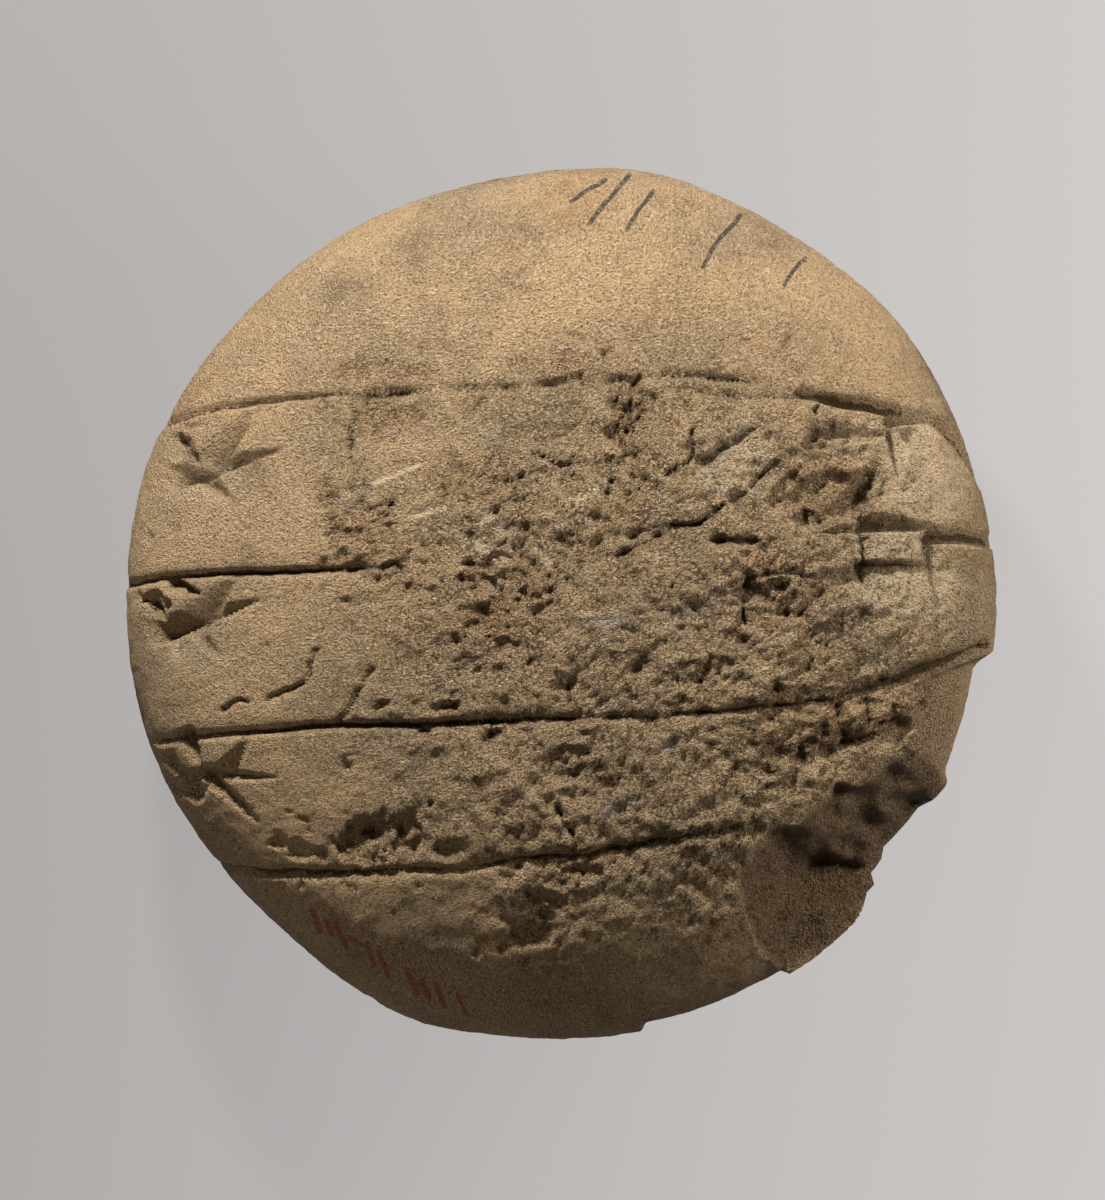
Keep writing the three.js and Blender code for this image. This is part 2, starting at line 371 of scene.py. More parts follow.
@dataclass(frozen=True)
class DiscGrid:
    """A square grid rounded to a disc, so that its cells stay close to square everywhere."""

    across: int

    def rings(self) -> tuple[Array, Array]:
        """Ring and direction of each grid corner.

        The ring is the larger of the two coordinates, from 0 in the middle to 1 at the edge. Each side
        of a ring becomes a quarter of a circle.

        Returns:
            Rings from 0 to 1, and directions in radians from 0 to a full turn.
        """
        line = np.linspace(-1.0, 1.0, self.across + 1)
        x, y = (axis.ravel() for axis in np.meshgrid(line, line, indexing="ij"))
        ring = np.maximum(np.abs(x), np.abs(y))
        wide = np.abs(x) >= np.abs(y)
        safe_x, safe_y = np.where(x == 0, 1.0, x), np.where(y == 0, 1.0, y)
        sideways = math.pi / 4 * y / safe_x + np.where(x < 0, math.pi, 0.0)
        upright = np.where(y > 0, math.pi / 2, -math.pi / 2) - math.pi / 4 * x / safe_y
        return ring, np.where(wide, sideways, upright) % (2 * math.pi)

    def quads(self) -> Array:
        """Corner numbers of every cell, anticlockwise seen from +Z."""
        number = np.arange((self.across + 1) ** 2).reshape(self.across + 1, -1)
        corners = [number[:-1, :-1], number[1:, :-1], number[1:, 1:], number[:-1, 1:]]
        return np.stack([corner.ravel() for corner in corners], axis=1)

    def edge(self) -> Array:
        """Numbers of the corners on the outermost ring, in order of direction."""
        ring, angle = self.rings()
        outer = np.nonzero(ring > 1.0 - 1e-9)[0]
        return outer[np.argsort(angle[outer])]


@dataclass(frozen=True)
class RuledLine:
    """A ruled line: a soft slope down from above, a narrow cut, then a steep wall up to the clay below."""

    through: tuple[Place, ...]
    above: float
    below: float
    depth: float
    cut: float = 0.16
    cut_reach: float = 0.6

    def press(self, places: Array) -> Array:
        """Depth of the line at plan places.

        Above the line it is 0.4 * depth * (1 - distance / above) ** 2 and
        0.6 * depth * (1 - distance / cut_reach), and below it depth * (1 - distance / below). Everything
        thins to 0.55 at the line's ends.

        Args:
            places: Plan places, one row each.

        Returns:
            Depth at each place.
        """
        made = np.zeros(len(places))
        rows, gap, share = beside(places, smooth_path(self.through), self.above)
        thinning = 0.55 + 0.45 * np.sin(math.pi * share)
        slope = 0.4 * np.clip(1.0 - gap / self.above, 0.0, 1.0) ** 2
        slope += 0.6 * np.clip(1.0 - gap / self.cut_reach, 0.0, 1.0)
        wall = np.clip(1.0 + gap / self.below, 0.0, 1.0)
        ends = np.where((share <= 0.0) | (share >= 1.0), np.clip(1.0 - np.abs(gap) / 0.3, 0.0, 1.0), 1.0)
        made[rows] = self.depth * thinning * np.where(gap > 0.0, slope, wall) * ends
        return made

    def edge_distance(self, places: Array, far: float) -> Array:
        """Distance outside the dark cut at the bottom of the line, negative inside, and far away from it.

        Args:
            places: Plan places, one row each.
            far: Value away from the line.

        Returns:
            Distance at each place.
        """
        made = np.full(len(places), far)
        rows, gap, share = beside(places, smooth_path(self.through), far)
        width = self.cut * (0.4 + 0.9 * np.sin(math.pi * share))
        made[rows] = np.minimum(np.abs(gap - 0.5 * self.cut) - width, far)
        return made


@dataclass(frozen=True)
class Wedge:
    """A pressed wedge stroke: a wide head that runs out in a thin tail.

    lean puts the valley off the middle, towards the left of the stroke's direction when positive.
    """

    x: float
    y: float
    towards: float
    length: float
    width: float
    depth: float
    lean: float = 0.0

    def press(self, places: Array) -> Array:
        """Depth of the stroke at plan places.

        At share u of the length, the half-width is width / 2 * (1 - u) ** 0.75 and the valley is
        depth * (1 - u) ** 0.6 deep. Across it, depth falls evenly from the valley to both sides. The
        head ends in a steep wall.

        Args:
            places: Plan places, one row each.

        Returns:
            Depth at each place.
        """
        along, left = turned(places, (self.x, self.y), self.towards)
        share = along / self.length
        kept = np.clip(1.0 - np.maximum(share, 0.0), 0.0, 1.0)
        half = self.width / 2.0 * kept**0.75 + 1e-6
        offset = left / half - self.lean
        across = 1.0 - np.where(offset > 0.0, offset / (1.0 - self.lean), -offset / (1.0 + self.lean))
        head = np.clip(1.0 + along / (0.35 * self.width), 0.0, 1.0)
        return self.depth * kept**0.6 * np.clip(across, 0.0, 1.0) * head * (share < 1.0)


@dataclass(frozen=True)
class Flake:
    """A place where a layer has come away: what sticks out when the tablet is pushed inwards there."""

    outline: tuple[Place, ...]
    depth: float
    ragged: float = 0.5
    softness: float = 0.4
    fray_size: float = 2.6

    def press(self, plan: Array, normals: Array, skin: Skin, grain: Grain) -> Array:
        """Depth of the flake: depth * cosine to the push, inside the outline, over a short steep edge.

        Args:
            plan: True plan places, one row each.
            normals: Outward normals, one row each.
            skin: The whole skin, for the direction of the push.
            grain: Noise that frays the outline.

        Returns:
            Depth at each place.
        """
        corners = np.array(self.outline)
        middle = corners.mean(0)
        angle = np.array([math.atan2(middle[1], middle[0])])
        share = min(math.hypot(*middle) / float(skin.outline(angle)[0]), 0.998)
        push = skin.form(angle, np.array([math.asin(share ** (skin.dome_fullness / 2))]))[1][0]
        space = np.column_stack([plan, np.zeros(len(plan))])
        fray = self.ragged * grain.layered(space, self.fray_size)
        gap = np.abs(beside(plan, np.vstack([corners, corners[:1]]))[1])
        inside = np.zeros(len(plan), bool)
        for (ax, ay), (bx, by) in zip(corners, np.roll(corners, -1, axis=0)):
            crosses = (ay > plan[:, 1]) != (by > plan[:, 1])
            inside ^= crosses & (plan[:, 0] < (bx - ax) * (plan[:, 1] - ay) / (by - ay + 1e-12) + ax)
        edge = smooth_step(np.where(inside, gap, -gap) + fray, -0.45 * self.softness, self.softness)
        return self.depth * edge * np.clip(normals @ push, 0.0, 1.0)


@dataclass(frozen=True)
class Hollow:
    """A pit, hollow or patch: its middle, half-length, half-width, turn in degrees, and depth."""

    x: float
    y: float
    half_length: float
    half_width: float
    turn: float
    depth: float

    def cover(self, places: Array, fray: Array) -> Array:
        """How far inside the hollow places are: 1 in the middle, 0 on its frayed edge and outside.

        Args:
            places: Plan places, one row each.
            fray: Noise that moves the edge, one number for each place.

        Returns:
            Numbers from 0 to 1.
        """
        along, left = turned(places, (self.x, self.y), self.turn)
        out = np.hypot(along / self.half_length, left / self.half_width)
        return np.clip(1.0 - out * (1.0 + 0.45 * fray), 0.0, 1.0)

    def press(self, places: Array, fray: Array) -> Array:
        """Depth of the hollow: steep at its edge and uneven inside, depth * cover ** 0.6 * (1 + noise).

        Args:
            places: Plan places, one row each.
            fray: Noise that moves the edge, one number for each place.

        Returns:
            Depth at each place.
        """
        return self.depth * self.cover(places, fray) ** 0.6 * (0.85 + 0.6 * fray)


@dataclass(frozen=True)
class Mark:
    """A line drawn, cracked or scratched along a path: its half-width, and the depth and reach of its V."""

    through: tuple[Place, ...]
    half_width: float
    depth: float = 0.0
    reach: float = 0.34

    def press(self, places: Array) -> Array:
        """Depth of the mark: a V, depth * (1 - distance / reach).

        Args:
            places: Plan places, one row each.

        Returns:
            Depth at each place.
        """
        made = np.zeros(len(places))
        rows, gap, _ = beside(places, smooth_path(self.through, 3), self.reach)
        made[rows] = self.depth * np.clip(1.0 - np.abs(gap) / self.reach, 0.0, 1.0)
        return made

    def edge_distance(self, places: Array, far: float) -> Array:
        """Distance outside the mark's edge, negative inside, and far away from it.

        Args:
            places: Plan places, one row each.
            far: Value away from the mark.

        Returns:
            Distance at each place.
        """
        made = np.full(len(places), far)
        rows, gap, _ = beside(places, smooth_path(self.through, 3), far)
        made[rows] = np.minimum(np.abs(gap) - self.half_width, far)
        return made


@dataclass(frozen=True)
class Fracture:
    """The broken edge: a corner, two ragged edges that run from it, and a stepped fall to a shelf.

    The core, measured from the middle of the widest line, is where broken clay is pushed towards. The
    rift is one deep crack in the broken face.
    """

    corner: Place = (15.2, -23.8)
    upper_edge: float = 29.5
    lower_edge: float = -68.0
    slope: float = 1.9
    ledge: float = 0.75
    ledge_spacing: float = 6.0
    raggedness: float = 0.5
    shelf_at: Place = (26.0, -32.0)
    shelf_height: float = 0.2
    shelf_fall: float = 0.6
    core: tuple[float, float, float] = (6.0, -8.0, -13.0)
    turn: float = 0.7
    fray_size: float = 3.4
    warp: float = 0.7
    crumb_size: float = 1.7
    crumb_height: float = 0.34
    tries: tuple[float, float, int] = (0.02, 0.9, 45)
    halvings: int = 9
    rift: Mark = Mark(
        ((21.4, -28.6), (20.3, -30.7), (18.6, -33.4), (16.9, -35.1), (14.2, -36.5)), 0.1, 1.4, 1.5
    )

    @staticmethod
    def torn(x: Array, y: Array) -> Array:
        """Waves of two sizes that cross each other, for clay that was torn through.

        Args:
            x: Places along one axis.
            y: Places along the other.

        Returns:
            Numbers from about -1.5 to 1.5.
        """
        wide = np.sin(0.55 * x + 1.3) * np.sin(0.7 * y)
        return wide + 0.45 * np.sin(1.35 * x + y) * np.sin(1.5 * y - 0.8 * x + 2)

    def past(self, x: Array, y: Array) -> Array:
        """How far plan places lie past both edges of the break.

        Args:
            x: Plan places along +X.
            y: Plan places along +Y.

        Returns:
            Distance past the nearer edge, negative on the unbroken side.
        """
        places = np.stack([x, y], axis=1)
        _, above = turned(places, self.corner, self.upper_edge)
        _, beyond = turned(places, self.corner, self.lower_edge)
        return np.minimum(-above, beyond) + self.raggedness * self.torn(x, y)

    def height(self, points: Array, skin: Skin, grain: Grain) -> Array:
        """Height of the fracture over plan places.

        It falls from the skin by slope * past * past / (past + turn) + ledge * sin(past), so that it turns
        over its edge, and no lower than a sloping shelf. Noise and the rift roughen it. On the unbroken
        side it lies above the skin.

        Args:
            points: Points whose plan places matter, one row each.
            skin: The whole skin.
            grain: Noise of the torn face.

        Returns:
            Height at each place.
        """
        x, y = points[:, 0], points[:, 1]
        flat = points * np.array([1.0, 1.0, 0.0])
        fray = grain.layered(flat, self.fray_size, 2)
        past = self.past(x + self.warp * fray, y - self.warp * fray) + 0.15 * fray
        ahead = np.maximum(past, 0.0)
        drop = self.slope * ahead * ahead / (ahead + self.turn)
        drop += self.ledge * np.sin(2 * math.pi * ahead / self.ledge_spacing)
        along, _ = turned(points[:, :2], self.shelf_at, self.upper_edge)
        shelf = skin.rim_height + self.shelf_height - self.shelf_fall * along
        shelf += 0.45 * self.raggedness * self.torn(y + fray, x - fray) + 0.4 * fray
        clods = 3.0 * (0.5 - grain.lumps(flat, self.crumb_size)) + grain.layered(flat, 1.4, 2)
        crumbs = self.crumb_height * np.tanh(clods) * smooth_step(past, 0.0, 1.0)
        crumbs -= self.rift.press(points[:, :2])
        whole = skin.dome(x, y)
        return np.where(past < 0.0, whole + 1.0 - 2.0 * past, np.maximum(whole - drop, shelf) + crumbs)

    def slide(self, points: Array, skin: Skin, grain: Grain) -> tuple[Array, Array]:
        """Bring the points outside the fracture onto it, each on its line to the core.

        A first pass finds the step in which the line meets the fracture, and halving finds the place.

        Args:
            points: Points of the skin, one row each.
            skin: The whole skin.
            grain: Noise of the torn face.

        Returns:
            The points with the broken ones moved, and how far each was moved.
        """
        core = np.array(self.core) + (0.0, 0.0, skin.rim_height)
        rows = np.nonzero(points[:, 2] > self.height(points, skin, grain))[0]
        start = points[rows]
        low, high = np.zeros(len(rows)), np.ones(len(rows))
        found = np.zeros(len(rows), bool)
        for share in np.linspace(*self.tries):
            place = start + share * (core - start)
            inside = place[:, 2] <= self.height(place, skin, grain)
            high = np.where(inside & ~found, share, high)
            low = np.where(~inside & ~found, share, low)
            found |= inside
        for _ in range(self.halvings):
            middle = (low + high) / 2.0
            place = start + middle[:, None] * (core - start)
            inside = place[:, 2] <= self.height(place, skin, grain)
            high = np.where(inside, middle, high)
            low = np.where(inside, low, middle)
        moved = points.copy()
        moved[rows] = start + high[:, None] * (core - start)
        travel = np.zeros(len(points))
        travel[rows] = np.linalg.norm(moved[rows] - start, axis=1)
        return moved, travel


# Path, reach above, reach below, depth, half-width of the cut, reach of the cut.
RULED_LINES = tuple(RuledLine(*row) for row in (
    (((-39.9, 16.4), (-36, 18.1), (-30, 19.2), (-22.3, 19.8), (-19.6, 20.0)), 2.4, 0.5, 1.0, 0.09),
    (((-20.6, 19.9), (-15.5, 20.1), (-12.5, 20.3)), 2.2, 0.5, 1.0, 0.14, 0.7),
    (((-13.5, 20.2), (-9.5, 20.4), (-4, 20.6)), 1.9, 0.5, 0.55, -0.02, 0.5),
    (((-4.6, 20.6), (3.7, 21.1), (6.4, 21.4)), 2.2, 0.5, 0.7, 0.0),
    (((9.4, 21.7), (12.6, 21.6), (15.4, 21.3), (19.4, 21.2)), 1.1, 0.45, 0.9, 0.13),
    (((9.6, 20.2), (14, 20.0), (18.7, 19.6), (22.6, 19.3)), 1.2, 0.45, 0.7, 0.06),
    (((22.4, 20.0), (25.4, 19.3), (28.6, 18.8), (31.6, 18.3), (32.6, 18.1)), 2.0, 0.5, 1.7, 0.3, 1.0),
    (((34.2, 18.0), (37, 16.9), (39.2, 14.4), (41.2, 11.4)), 1.6, 1.4, 1.0, 0.05),
    (((-42.4, 1.7), (-36.7, 2.5), (-30.4, 2.9), (-22.3, 3.1), (-15.5, 3.7)), 2.2, 0.45, 1.2, 0.17),
    (((14.2, 6.1), (16.6, 5.9), (18.8, 6.0)), 1.2, 0.5, 1.0, 0.2),
    (((22.4, 6.6), (25.4, 6.9), (28.9, 6.8)), 1.2, 0.5, 0.8, 0.05),
    (((35.2, 6.4), (38.6, 6.2), (42.8, 5.7)), 1.8, 0.7, 1.5, 0.22, 1.0),
    (((-38.9, -13.2), (-33, -12.6), (-22, -11.7), (-13.6, -11.6), (-4, -11.1), (9.8, -10.8)),
        1.5, 0.45, 1.2, 0.17),
    (((9.2, -10.8), (17.5, -10.0), (23, -9.6), (27.5, -8.9)), 1.4, 0.45, 1.1, 0.16),
    (((26.8, -9.1), (31, -7.9), (34.6, -6.6), (41, -4.2)), 2.2, 0.6, 2.0, 0.3, 1.4),
    (((-34.6, -25.0), (-29, -25.8), (-20.4, -25.8), (-15.7, -25.5), (-9.3, -25.3)), 1.2, 0.45, 1.1, 0.15),
    (((-9.9, -25.4), (-4, -24.4), (2.7, -24), (8.3, -22.9), (12.6, -22.2), (17.2, -21.3)),
        1.4, 0.45, 1.2, 0.18),
))

# x, y, direction, length, width, depth, lean.
LEFT_STROKES = tuple(Wedge(*row) for row in (
    (-36.8, 12.3, 14, 11.2, 3.0, 2.3, -0.8), (-33.9, 13.5, 49, 8.0, 3.2, 2.3, -0.85),
    (-34.4, 12.7, -44, 5.0, 2.3, 1.9, -0.8), (-36.2, 15.1, -46, 3.6, 1.6, 1.6, -0.5),
    (-37.4, 13.0, -100, 2.4, 1.3, 0.9, 0.3), (-36.2, 17.0, 4, 3.6, 0.9, 0.6, -0.4),
    (-38.6, -2.4, 16, 10.8, 3.2, 2.0, -0.8), (-35.2, -1.6, 47, 7.0, 3.4, 1.9, -0.85),
    (-35.7, -1.5, -48, 5.2, 2.2, 1.4, -0.8), (-39.3, 0.4, -55, 3.6, 1.7, 1.8, -0.4),
    (-37.6, 2.0, -20, 3.6, 2.4, 2.0, 0.2), (-37.2, -3.0, -75, 3.4, 1.4, 0.7, 0.4),
    (-35.9, -12.5, -66, 3.8, 2.1, 2.0, -0.2), (-34.6, -16.1, -3, 7.8, 2.0, 1.7, -0.5),
    (-33.8, -16.1, -43, 7.2, 2.0, 1.6, -0.8), (-32.4, -16.2, 55, 4.6, 2.4, 1.2, -0.8),
    (-37.6, -14.6, -58, 3.8, 1.6, 1.0, -0.3),
))

RIGHT_STROKES = tuple(Wedge(*row) for row in (
    (13.6, 12.9, 37, 7.4, 2.6, 1.3, 0.75), (18.6, 10.9, 54, 4.6, 1.7, 1.1, 0.6),
    (20.6, 10.4, 42, 5.0, 1.9, 0.7, 0.6), (17.0, 10.4, -62, 4.6, 2.8, 1.3, -0.8),
    (12.4, 16.4, -74, 2.6, 1.0, 0.7, 0.2), (24.2, 16.6, -3, 7.4, 2.2, 1.7, -0.75),
    (23.6, 15.4, 3, 6.6, 1.6, 1.3, -0.8), (31.6, 18.2, -6, 4.4, 2.6, 2.3, -0.8),
    (32.0, 16.4, -85, 5.0, 2.2, 1.5, -0.8), (28.3, 18.9, -88, 2.4, 0.9, 0.5, -0.8),
    (33.6, 16.6, -60, 5.6, 3.2, 1.2, -0.4), (28.9, 7.9, -4, 7.6, 2.4, 2.6, -0.78),
    (35.3, 6.7, -10, 4.2, 2.2, 2.2, -0.75), (28.9, 2.9, 5, 8.2, 2.8, 2.2, 0.72),
    (30.6, 5.0, 1, 2.9, 0.34, 0.3, 0.0), (29.2, 6.4, -87, 7.6, 1.2, 1.1, -0.8),
    (35.7, 6.2, -86, 7.4, 2.4, 1.3, -0.8), (36.2, 3.4, -76, 4.2, 3.0, 0.6, -0.2),
    (17.3, 2.7, -84, 6.6, 1.2, 0.8, 0.7), (17.3, 2.4, 16, 4.6, 1.2, 0.9, -0.2),
    (21.6, -1.2, 24, 3.4, 1.4, 0.8, -0.3), (27.0, -12.9, 14, 6.0, 2.4, 2.5, -0.75),
    (26.2, -9.6, -80, 5.2, 1.9, 1.3, 0.3), (29.2, -9.2, -84, 4.4, 1.7, 1.3, 0.3),
    (22.4, -8.9, -84, 7.0, 2.2, 0.8, 0.3),
))

# Outline, depth, raggedness, softness of the edge.
FLAKES = tuple(Flake(*row) for row in (
    (((-19.7, 20.1), (7.4, 21.2), (7.6, 13), (13, 9.6), (2, 0.8), (-14.8, 3.4)), 0.42, 0.7, 0.8),
    (((17.2, 2.4), (29, 3.6), (29, -2.4), (22, -7.4), (16.2, -4.2)), 0.5),
    (((24.6, 12.6), (30.2, 12.8), (29, 8), (22.4, 6.6), (20, 9.4)), 0.7),
    (((34.2, -7.6), (37, -6.2), (44, -4.2), (44, -24), (34.4, -15)), 2.1, 0.35, 1.5),
    (((7.6, -40.2), (12.5, -37.4), (19.6, -32.6), (23.4, -38.4), (16, -43), (7.6, -44)), 0.8),
))

# x, y, half-length, half-width, turn, depth; the depth of a patch is its strength.
HOLLOWS = tuple(Hollow(*row) for row in (
    (-5.4, 1.6, 4.8, 3.8, 60, 1.0), (-18.9, -22.4, 2.9, 1.8, 24, 1.5), (-15.0, -22.2, 2.6, 1.9, -10, 1.2),
    (-17.2, -24.1, 3.6, 1.0, 14, 0.8), (-2.2, -28.8, 2.6, 2.0, -40, 1.2), (-3.4, -31.6, 3.4, 1.3, 14, 1.1),
    (-36.3, 15.2, 0.9, 1.3, 20, 2.1), (-37.6, 12.1, 0.6, 0.8, 0, 0.8), (-38.9, 0.0, 1.6, 1.1, -30, 2.0),
    (-37.5, -2.8, 0.7, 0.5, 20, 0.8), (-35.6, -17.4, 2.0, 1.3, -45, 2.2), (0.6, -15.6, 2.6, 1.7, 20, 1.3),
    (24.4, -14.2, 4.4, 2.6, 20, 1.3), (6.9, 16.6, 4.2, 2.0, 78, 0.9), (-0.2, -25.4, 3.6, 1.4, 4, 1.1),
    (-10.5, -9.6, 2.0, 0.9, 12, 1.1), (-17.2, -9.7, 1.7, 0.8, 12, 0.8), (-6.4, -12.2, 1.7, 1.3, 60, 1.3),
    (-13.0, -12.0, 1.1, 0.8, 0, 0.9), (0.7, -8.0, 1.9, 1.2, 20, 0.8), (3.7, -9.7, 1.4, 0.8, 10, 0.8),
    (7.1, -5.8, 2.0, 1.3, -20, 0.7), (5.1, -17.0, 2.4, 1.3, 16, 0.6), (-10.8, -23.3, 1.5, 1.0, 30, 1.2),
    (-4.8, -25.4, 1.6, 1.0, 10, 1.0), (-25.2, -23.6, 1.7, 1.0, 0, 0.8), (-27.0, -22.9, 0.9, 0.7, 0, 0.7),
    (19.0, 1.2, 3.6, 1.6, 20, 0.9), (14.4, -5.9, 2.6, 1.4, 30, 0.8), (28.8, 10.2, 3.6, 1.6, 24, 0.9),
    (24.6, 8.6, 2.6, 1.5, 40, 1.1), (31.6, -11.6, 2.6, 1.6, 30, 1.4), (-18.6, 19.2, 3.4, 1.6, 10, 0.8),
    (-8.6, 18.6, 2.4, 1.3, 30, 0.7), (-4.0, 11.8, 3.6, 1.0, 12, 0.8), (-20.2, -15.2, 1.0, 0.8, 0, 0.6),
    (-12.5, -19.1, 0.8, 0.6, 0, 0.7), (-27.6, -3.8, 0.5, 0.4, 0, 0.6), (-26.8, -1.7, 0.45, 0.4, 0, 0.5),
    (-39.1, 6.3, 0.5, 0.6, 0, 0.6), (-40.4, 6.9, 0.4, 0.4, 0, 0.4),
))

CRUMBLED = tuple(Hollow(*row) for row in (
    (-18.7, 6.4, 5.2, 5.0, 30, 0.5), (-15.2, 3.6, 4.6, 2.4, 8, 0.5), (-5.4, 1.0, 5.8, 6.6, 10, 0.6),
    (6.8, 16.8, 2.8, 6.6, 4, 0.7), (6.4, 8.4, 2.6, 5.8, -12, 0.5), (2.4, 5.4, 4.2, 2.8, 20, 0.4),
    (-8.4, 11.4, 4.6, 2.2, 12, 0.4), (-17.2, 18.0, 4.8, 2.6, 10, 0.5), (1.0, 22.6, 5.6, 1.8, 6, 0.5),
    (-17.0, 22.0, 6.0, 1.4, 4, 0.4), (25.4, 11.6, 7.6, 5.6, -10, 0.5), (19.4, 0.4, 7.6, 6.6, 20, 0.4),
    (23.4, -11.4, 7.4, 5.6, 20, 0.5), (30.4, -9.4, 5.4, 4.0, 20, 0.6), (-17.0, -22.4, 6.4, 4.0, 14, 0.4),
    (-1.8, -30.2, 5.6, 3.8, 20, 0.35), (13.4, -27.4, 3.4, 5.2, 20, 0.25), (1.4, -24.4, 5.4, 2.4, 4, 0.4),
    (13.8, -7.6, 5.0, 3.4, 0, 0.3),
))

# Path, half-width, depth, reach of the V.
CRACKS = tuple(Mark(*row) for row in (
    (((-19.9, 19.0), (-19.8, 16.9), (-20.2, 14.6)), 0.13, 1.0),
    (((-20.1, 14.0), (-19.4, 12.4), (-19.7, 10.8)), 0.05, 0.5), (((-16.4, 9.8), (-16.7, 8.2)), 0.13, 0.8),
    (((-6.4, 12.0), (-4.8, 12.0), (-3.0, 12.4)), 0.08, 0.7),
    (((-2.7, 14.4), (-0.4, 13.4), (1.6, 13.2)), 0.08, 0.6),
    (((-23.2, -4.3), (-23.8, -6.4), (-24.6, -7.6), (-27.7, -9.0)), 0.08, 0.6),
    (((-32.5, -9.9), (-31.0, -9.3), (-29.7, -9.3)), 0.08, 0.6),
    (((-17.6, -6.1), (-19.3, -8.2), (-20.9, -11.1)), 0.05, 0.6),
    (((-0.5, -19.4), (0.4, -21.2), (1.3, -22.4), (1.0, -23.9)), 0.07, 0.7),
    (((24.4, 18.6), (24.6, 16.8), (23.9, 15.6)), 0.05, 0.6),
    (((7.0, 19.0), (5.4, 17.2), (5.6, 15.2)), 0.13, 0.9),
    (((12.6, 16.0), (12.4, 13.6), (9.6, 12.4)), 0.07, 0.6),
    (((15.4, 9.6), (13.2, 7.9), (10.4, 7.6)), 0.13, 0.8), (((9.8, 6.6), (5.2, 4.8), (2.4, 4.6)), 0.05, 0.5),
    (((17.4, 2.6), (17.2, 0.4), (17.6, -1.6)), 0.1, 0.9),
    (((17.3, 2.5), (20.2, 3.0), (23.0, 2.8)), 0.13, 0.6),
    (((11.2, 0.4), (13.4, -1.2), (14.2, -3.4)), 0.05, 0.4),
    (((-12.6, 28.2), (-10.8, 27.4), (-9.0, 27.6)), 0.02, 0.3),
    (((-6.0, 30.4), (-3.4, 29.8), (-1.4, 30.2)), 0.02, 0.3),
    (((3.0, 27.0), (5.2, 25.8), (8.4, 26.0)), 0.02, 0.3),
    (((22.2, 26.0), (21.0, 23.6), (22.4, 22.4)), 0.05, 0.35),
))

SCRATCHES = tuple(Mark(*row) for row in (
    (((-9.4, 6.5), (-7.6, 5.4), (-5.6, 4.3)), 0.34, 0.3, 0.55), (((-7.9, 7.4), (-6.2, 8.9)), 0.32, 0.25, 0.5),
    (((-6.1, 7.4), (-5.2, 6.4), (-4.8, 5.4)), 0.34, 0.3, 0.55), (((-2.4, 5.4), (-1.2, 4.3)), 0.3, 0.25, 0.5),
    (((1.4, 8.6), (2.3, 7.9)), 0.28, 0.2, 0.45), (((1.6, 9.6), (4.4, 12.0)), 0.26, 0.15, 0.4),
    (((-14.6, 8.0), (-11.0, 9.2)), 0.26, 0.1), (((-18.0, 11.4), (-13.4, 13.2)), 0.26, 0.1),
))

# Pale worn patches; those past x = 26 on the +X side stand in as painted highlight.
PALE_AND_HIGHLIGHT = tuple(Hollow(*row) for row in (
    (16.6, 13.4, 5.6, 4.4, 30, 0.9), (33.4, 15.8, 4.6, 3.8, 40, 1.0), (35.0, 11.0, 5.2, 6.2, 90, 0.9),
    (31.4, 5.6, 5.2, 3.2, 0, 1.0), (33.4, 1.2, 6.4, 3.8, 0, 1.0), (38.2, -1.2, 4.2, 5.6, 0, 0.6),
    (26.6, 15.6, 5.4, 2.4, 0, 0.6), (31.0, -6.0, 5.0, 2.4, 20, 0.5), (-33.4, 11.4, 4.6, 3.2, 0, 0.4),
    (-34.8, -4.4, 4.2, 3.2, 0, 0.5), (3.4, -1.6, 2.6, 1.2, 10, 0.6),
))

SMEARS = tuple(Hollow(*row) for row in (
    (-18.5, 10.2, 1.3, 0.9, 20, 1.0), (-20.2, 9.2, 0.9, 0.8, 0, 1.0), (3.7, -1.6, 3.6, 0.7, 6, 0.9),
    (5.6, -19.4, 2.6, 0.9, 14, 1.0), (9.9, -13.6, 2.0, 0.8, 10, 0.8), (-6.4, 16.2, 1.8, 0.7, 24, 0.7),
    (14.6, 0.2, 1.0, 2.0, 0, 0.6), (11.4, -1.0, 2.4, 1.2, 10, 0.4),
))

STAINS = tuple(Hollow(*row) for row in (
    (1.4, 38.0, 4.6, 3.6, 0, 0.8), (-5.2, 33.4, 2.6, 1.8, 20, 0.5), (19.6, 25.4, 3.0, 3.4, 0, 0.3),
    (-35.4, 21.0, 2.6, 6.0, -34, 0.6), (-12.0, -3.0, 9.0, 5.0, 10, 0.35), (10.6, 29.4, 7.4, 5.2, 0, 0.3),
    (28.5, -24.5, 15.0, 9.0, 42, 1.0),
))

INK = tuple(Mark(*row) for row in (
    (((0.8, 38.4), (2.6, 39.6), (4.2, 40.6)), 0.2), (((2.6, 36.2), (4.6, 38.8), (6.4, 41.0)), 0.23),
    (((6.2, 35.6), (7.3, 37.4), (8.8, 39.6)), 0.21), (((13.4, 32.2), (14.8, 34.4), (17.2, 37.2)), 0.22),
    (((21.2, 30.4), (22.2, 31.8), (23.4, 33.2)), 0.2),
))

PAINT = tuple(Mark(*row) for row in (
    (((-24.0, -29.0), (-23.0, -31.2)), 0.26), (((-22.7, -29.9), (-21.9, -31.6)), 0.24),
    (((-21.6, -30.4), (-20.5, -32.8)), 0.28), (((-20.1, -32.0), (-19.0, -32.6)), 0.22),
    (((-18.6, -32.4), (-17.8, -34.6)), 0.26), (((-17.4, -33.2), (-16.5, -35.4)), 0.26),
    (((-14.7, -35.0), (-13.8, -37.2)), 0.28), (((-13.3, -35.9), (-12.6, -37.6)), 0.26),
    (((-12.0, -36.2), (-11.2, -38.4)), 0.28), (((-9.9, -37.3), (-9.2, -39.2)), 0.22),
))


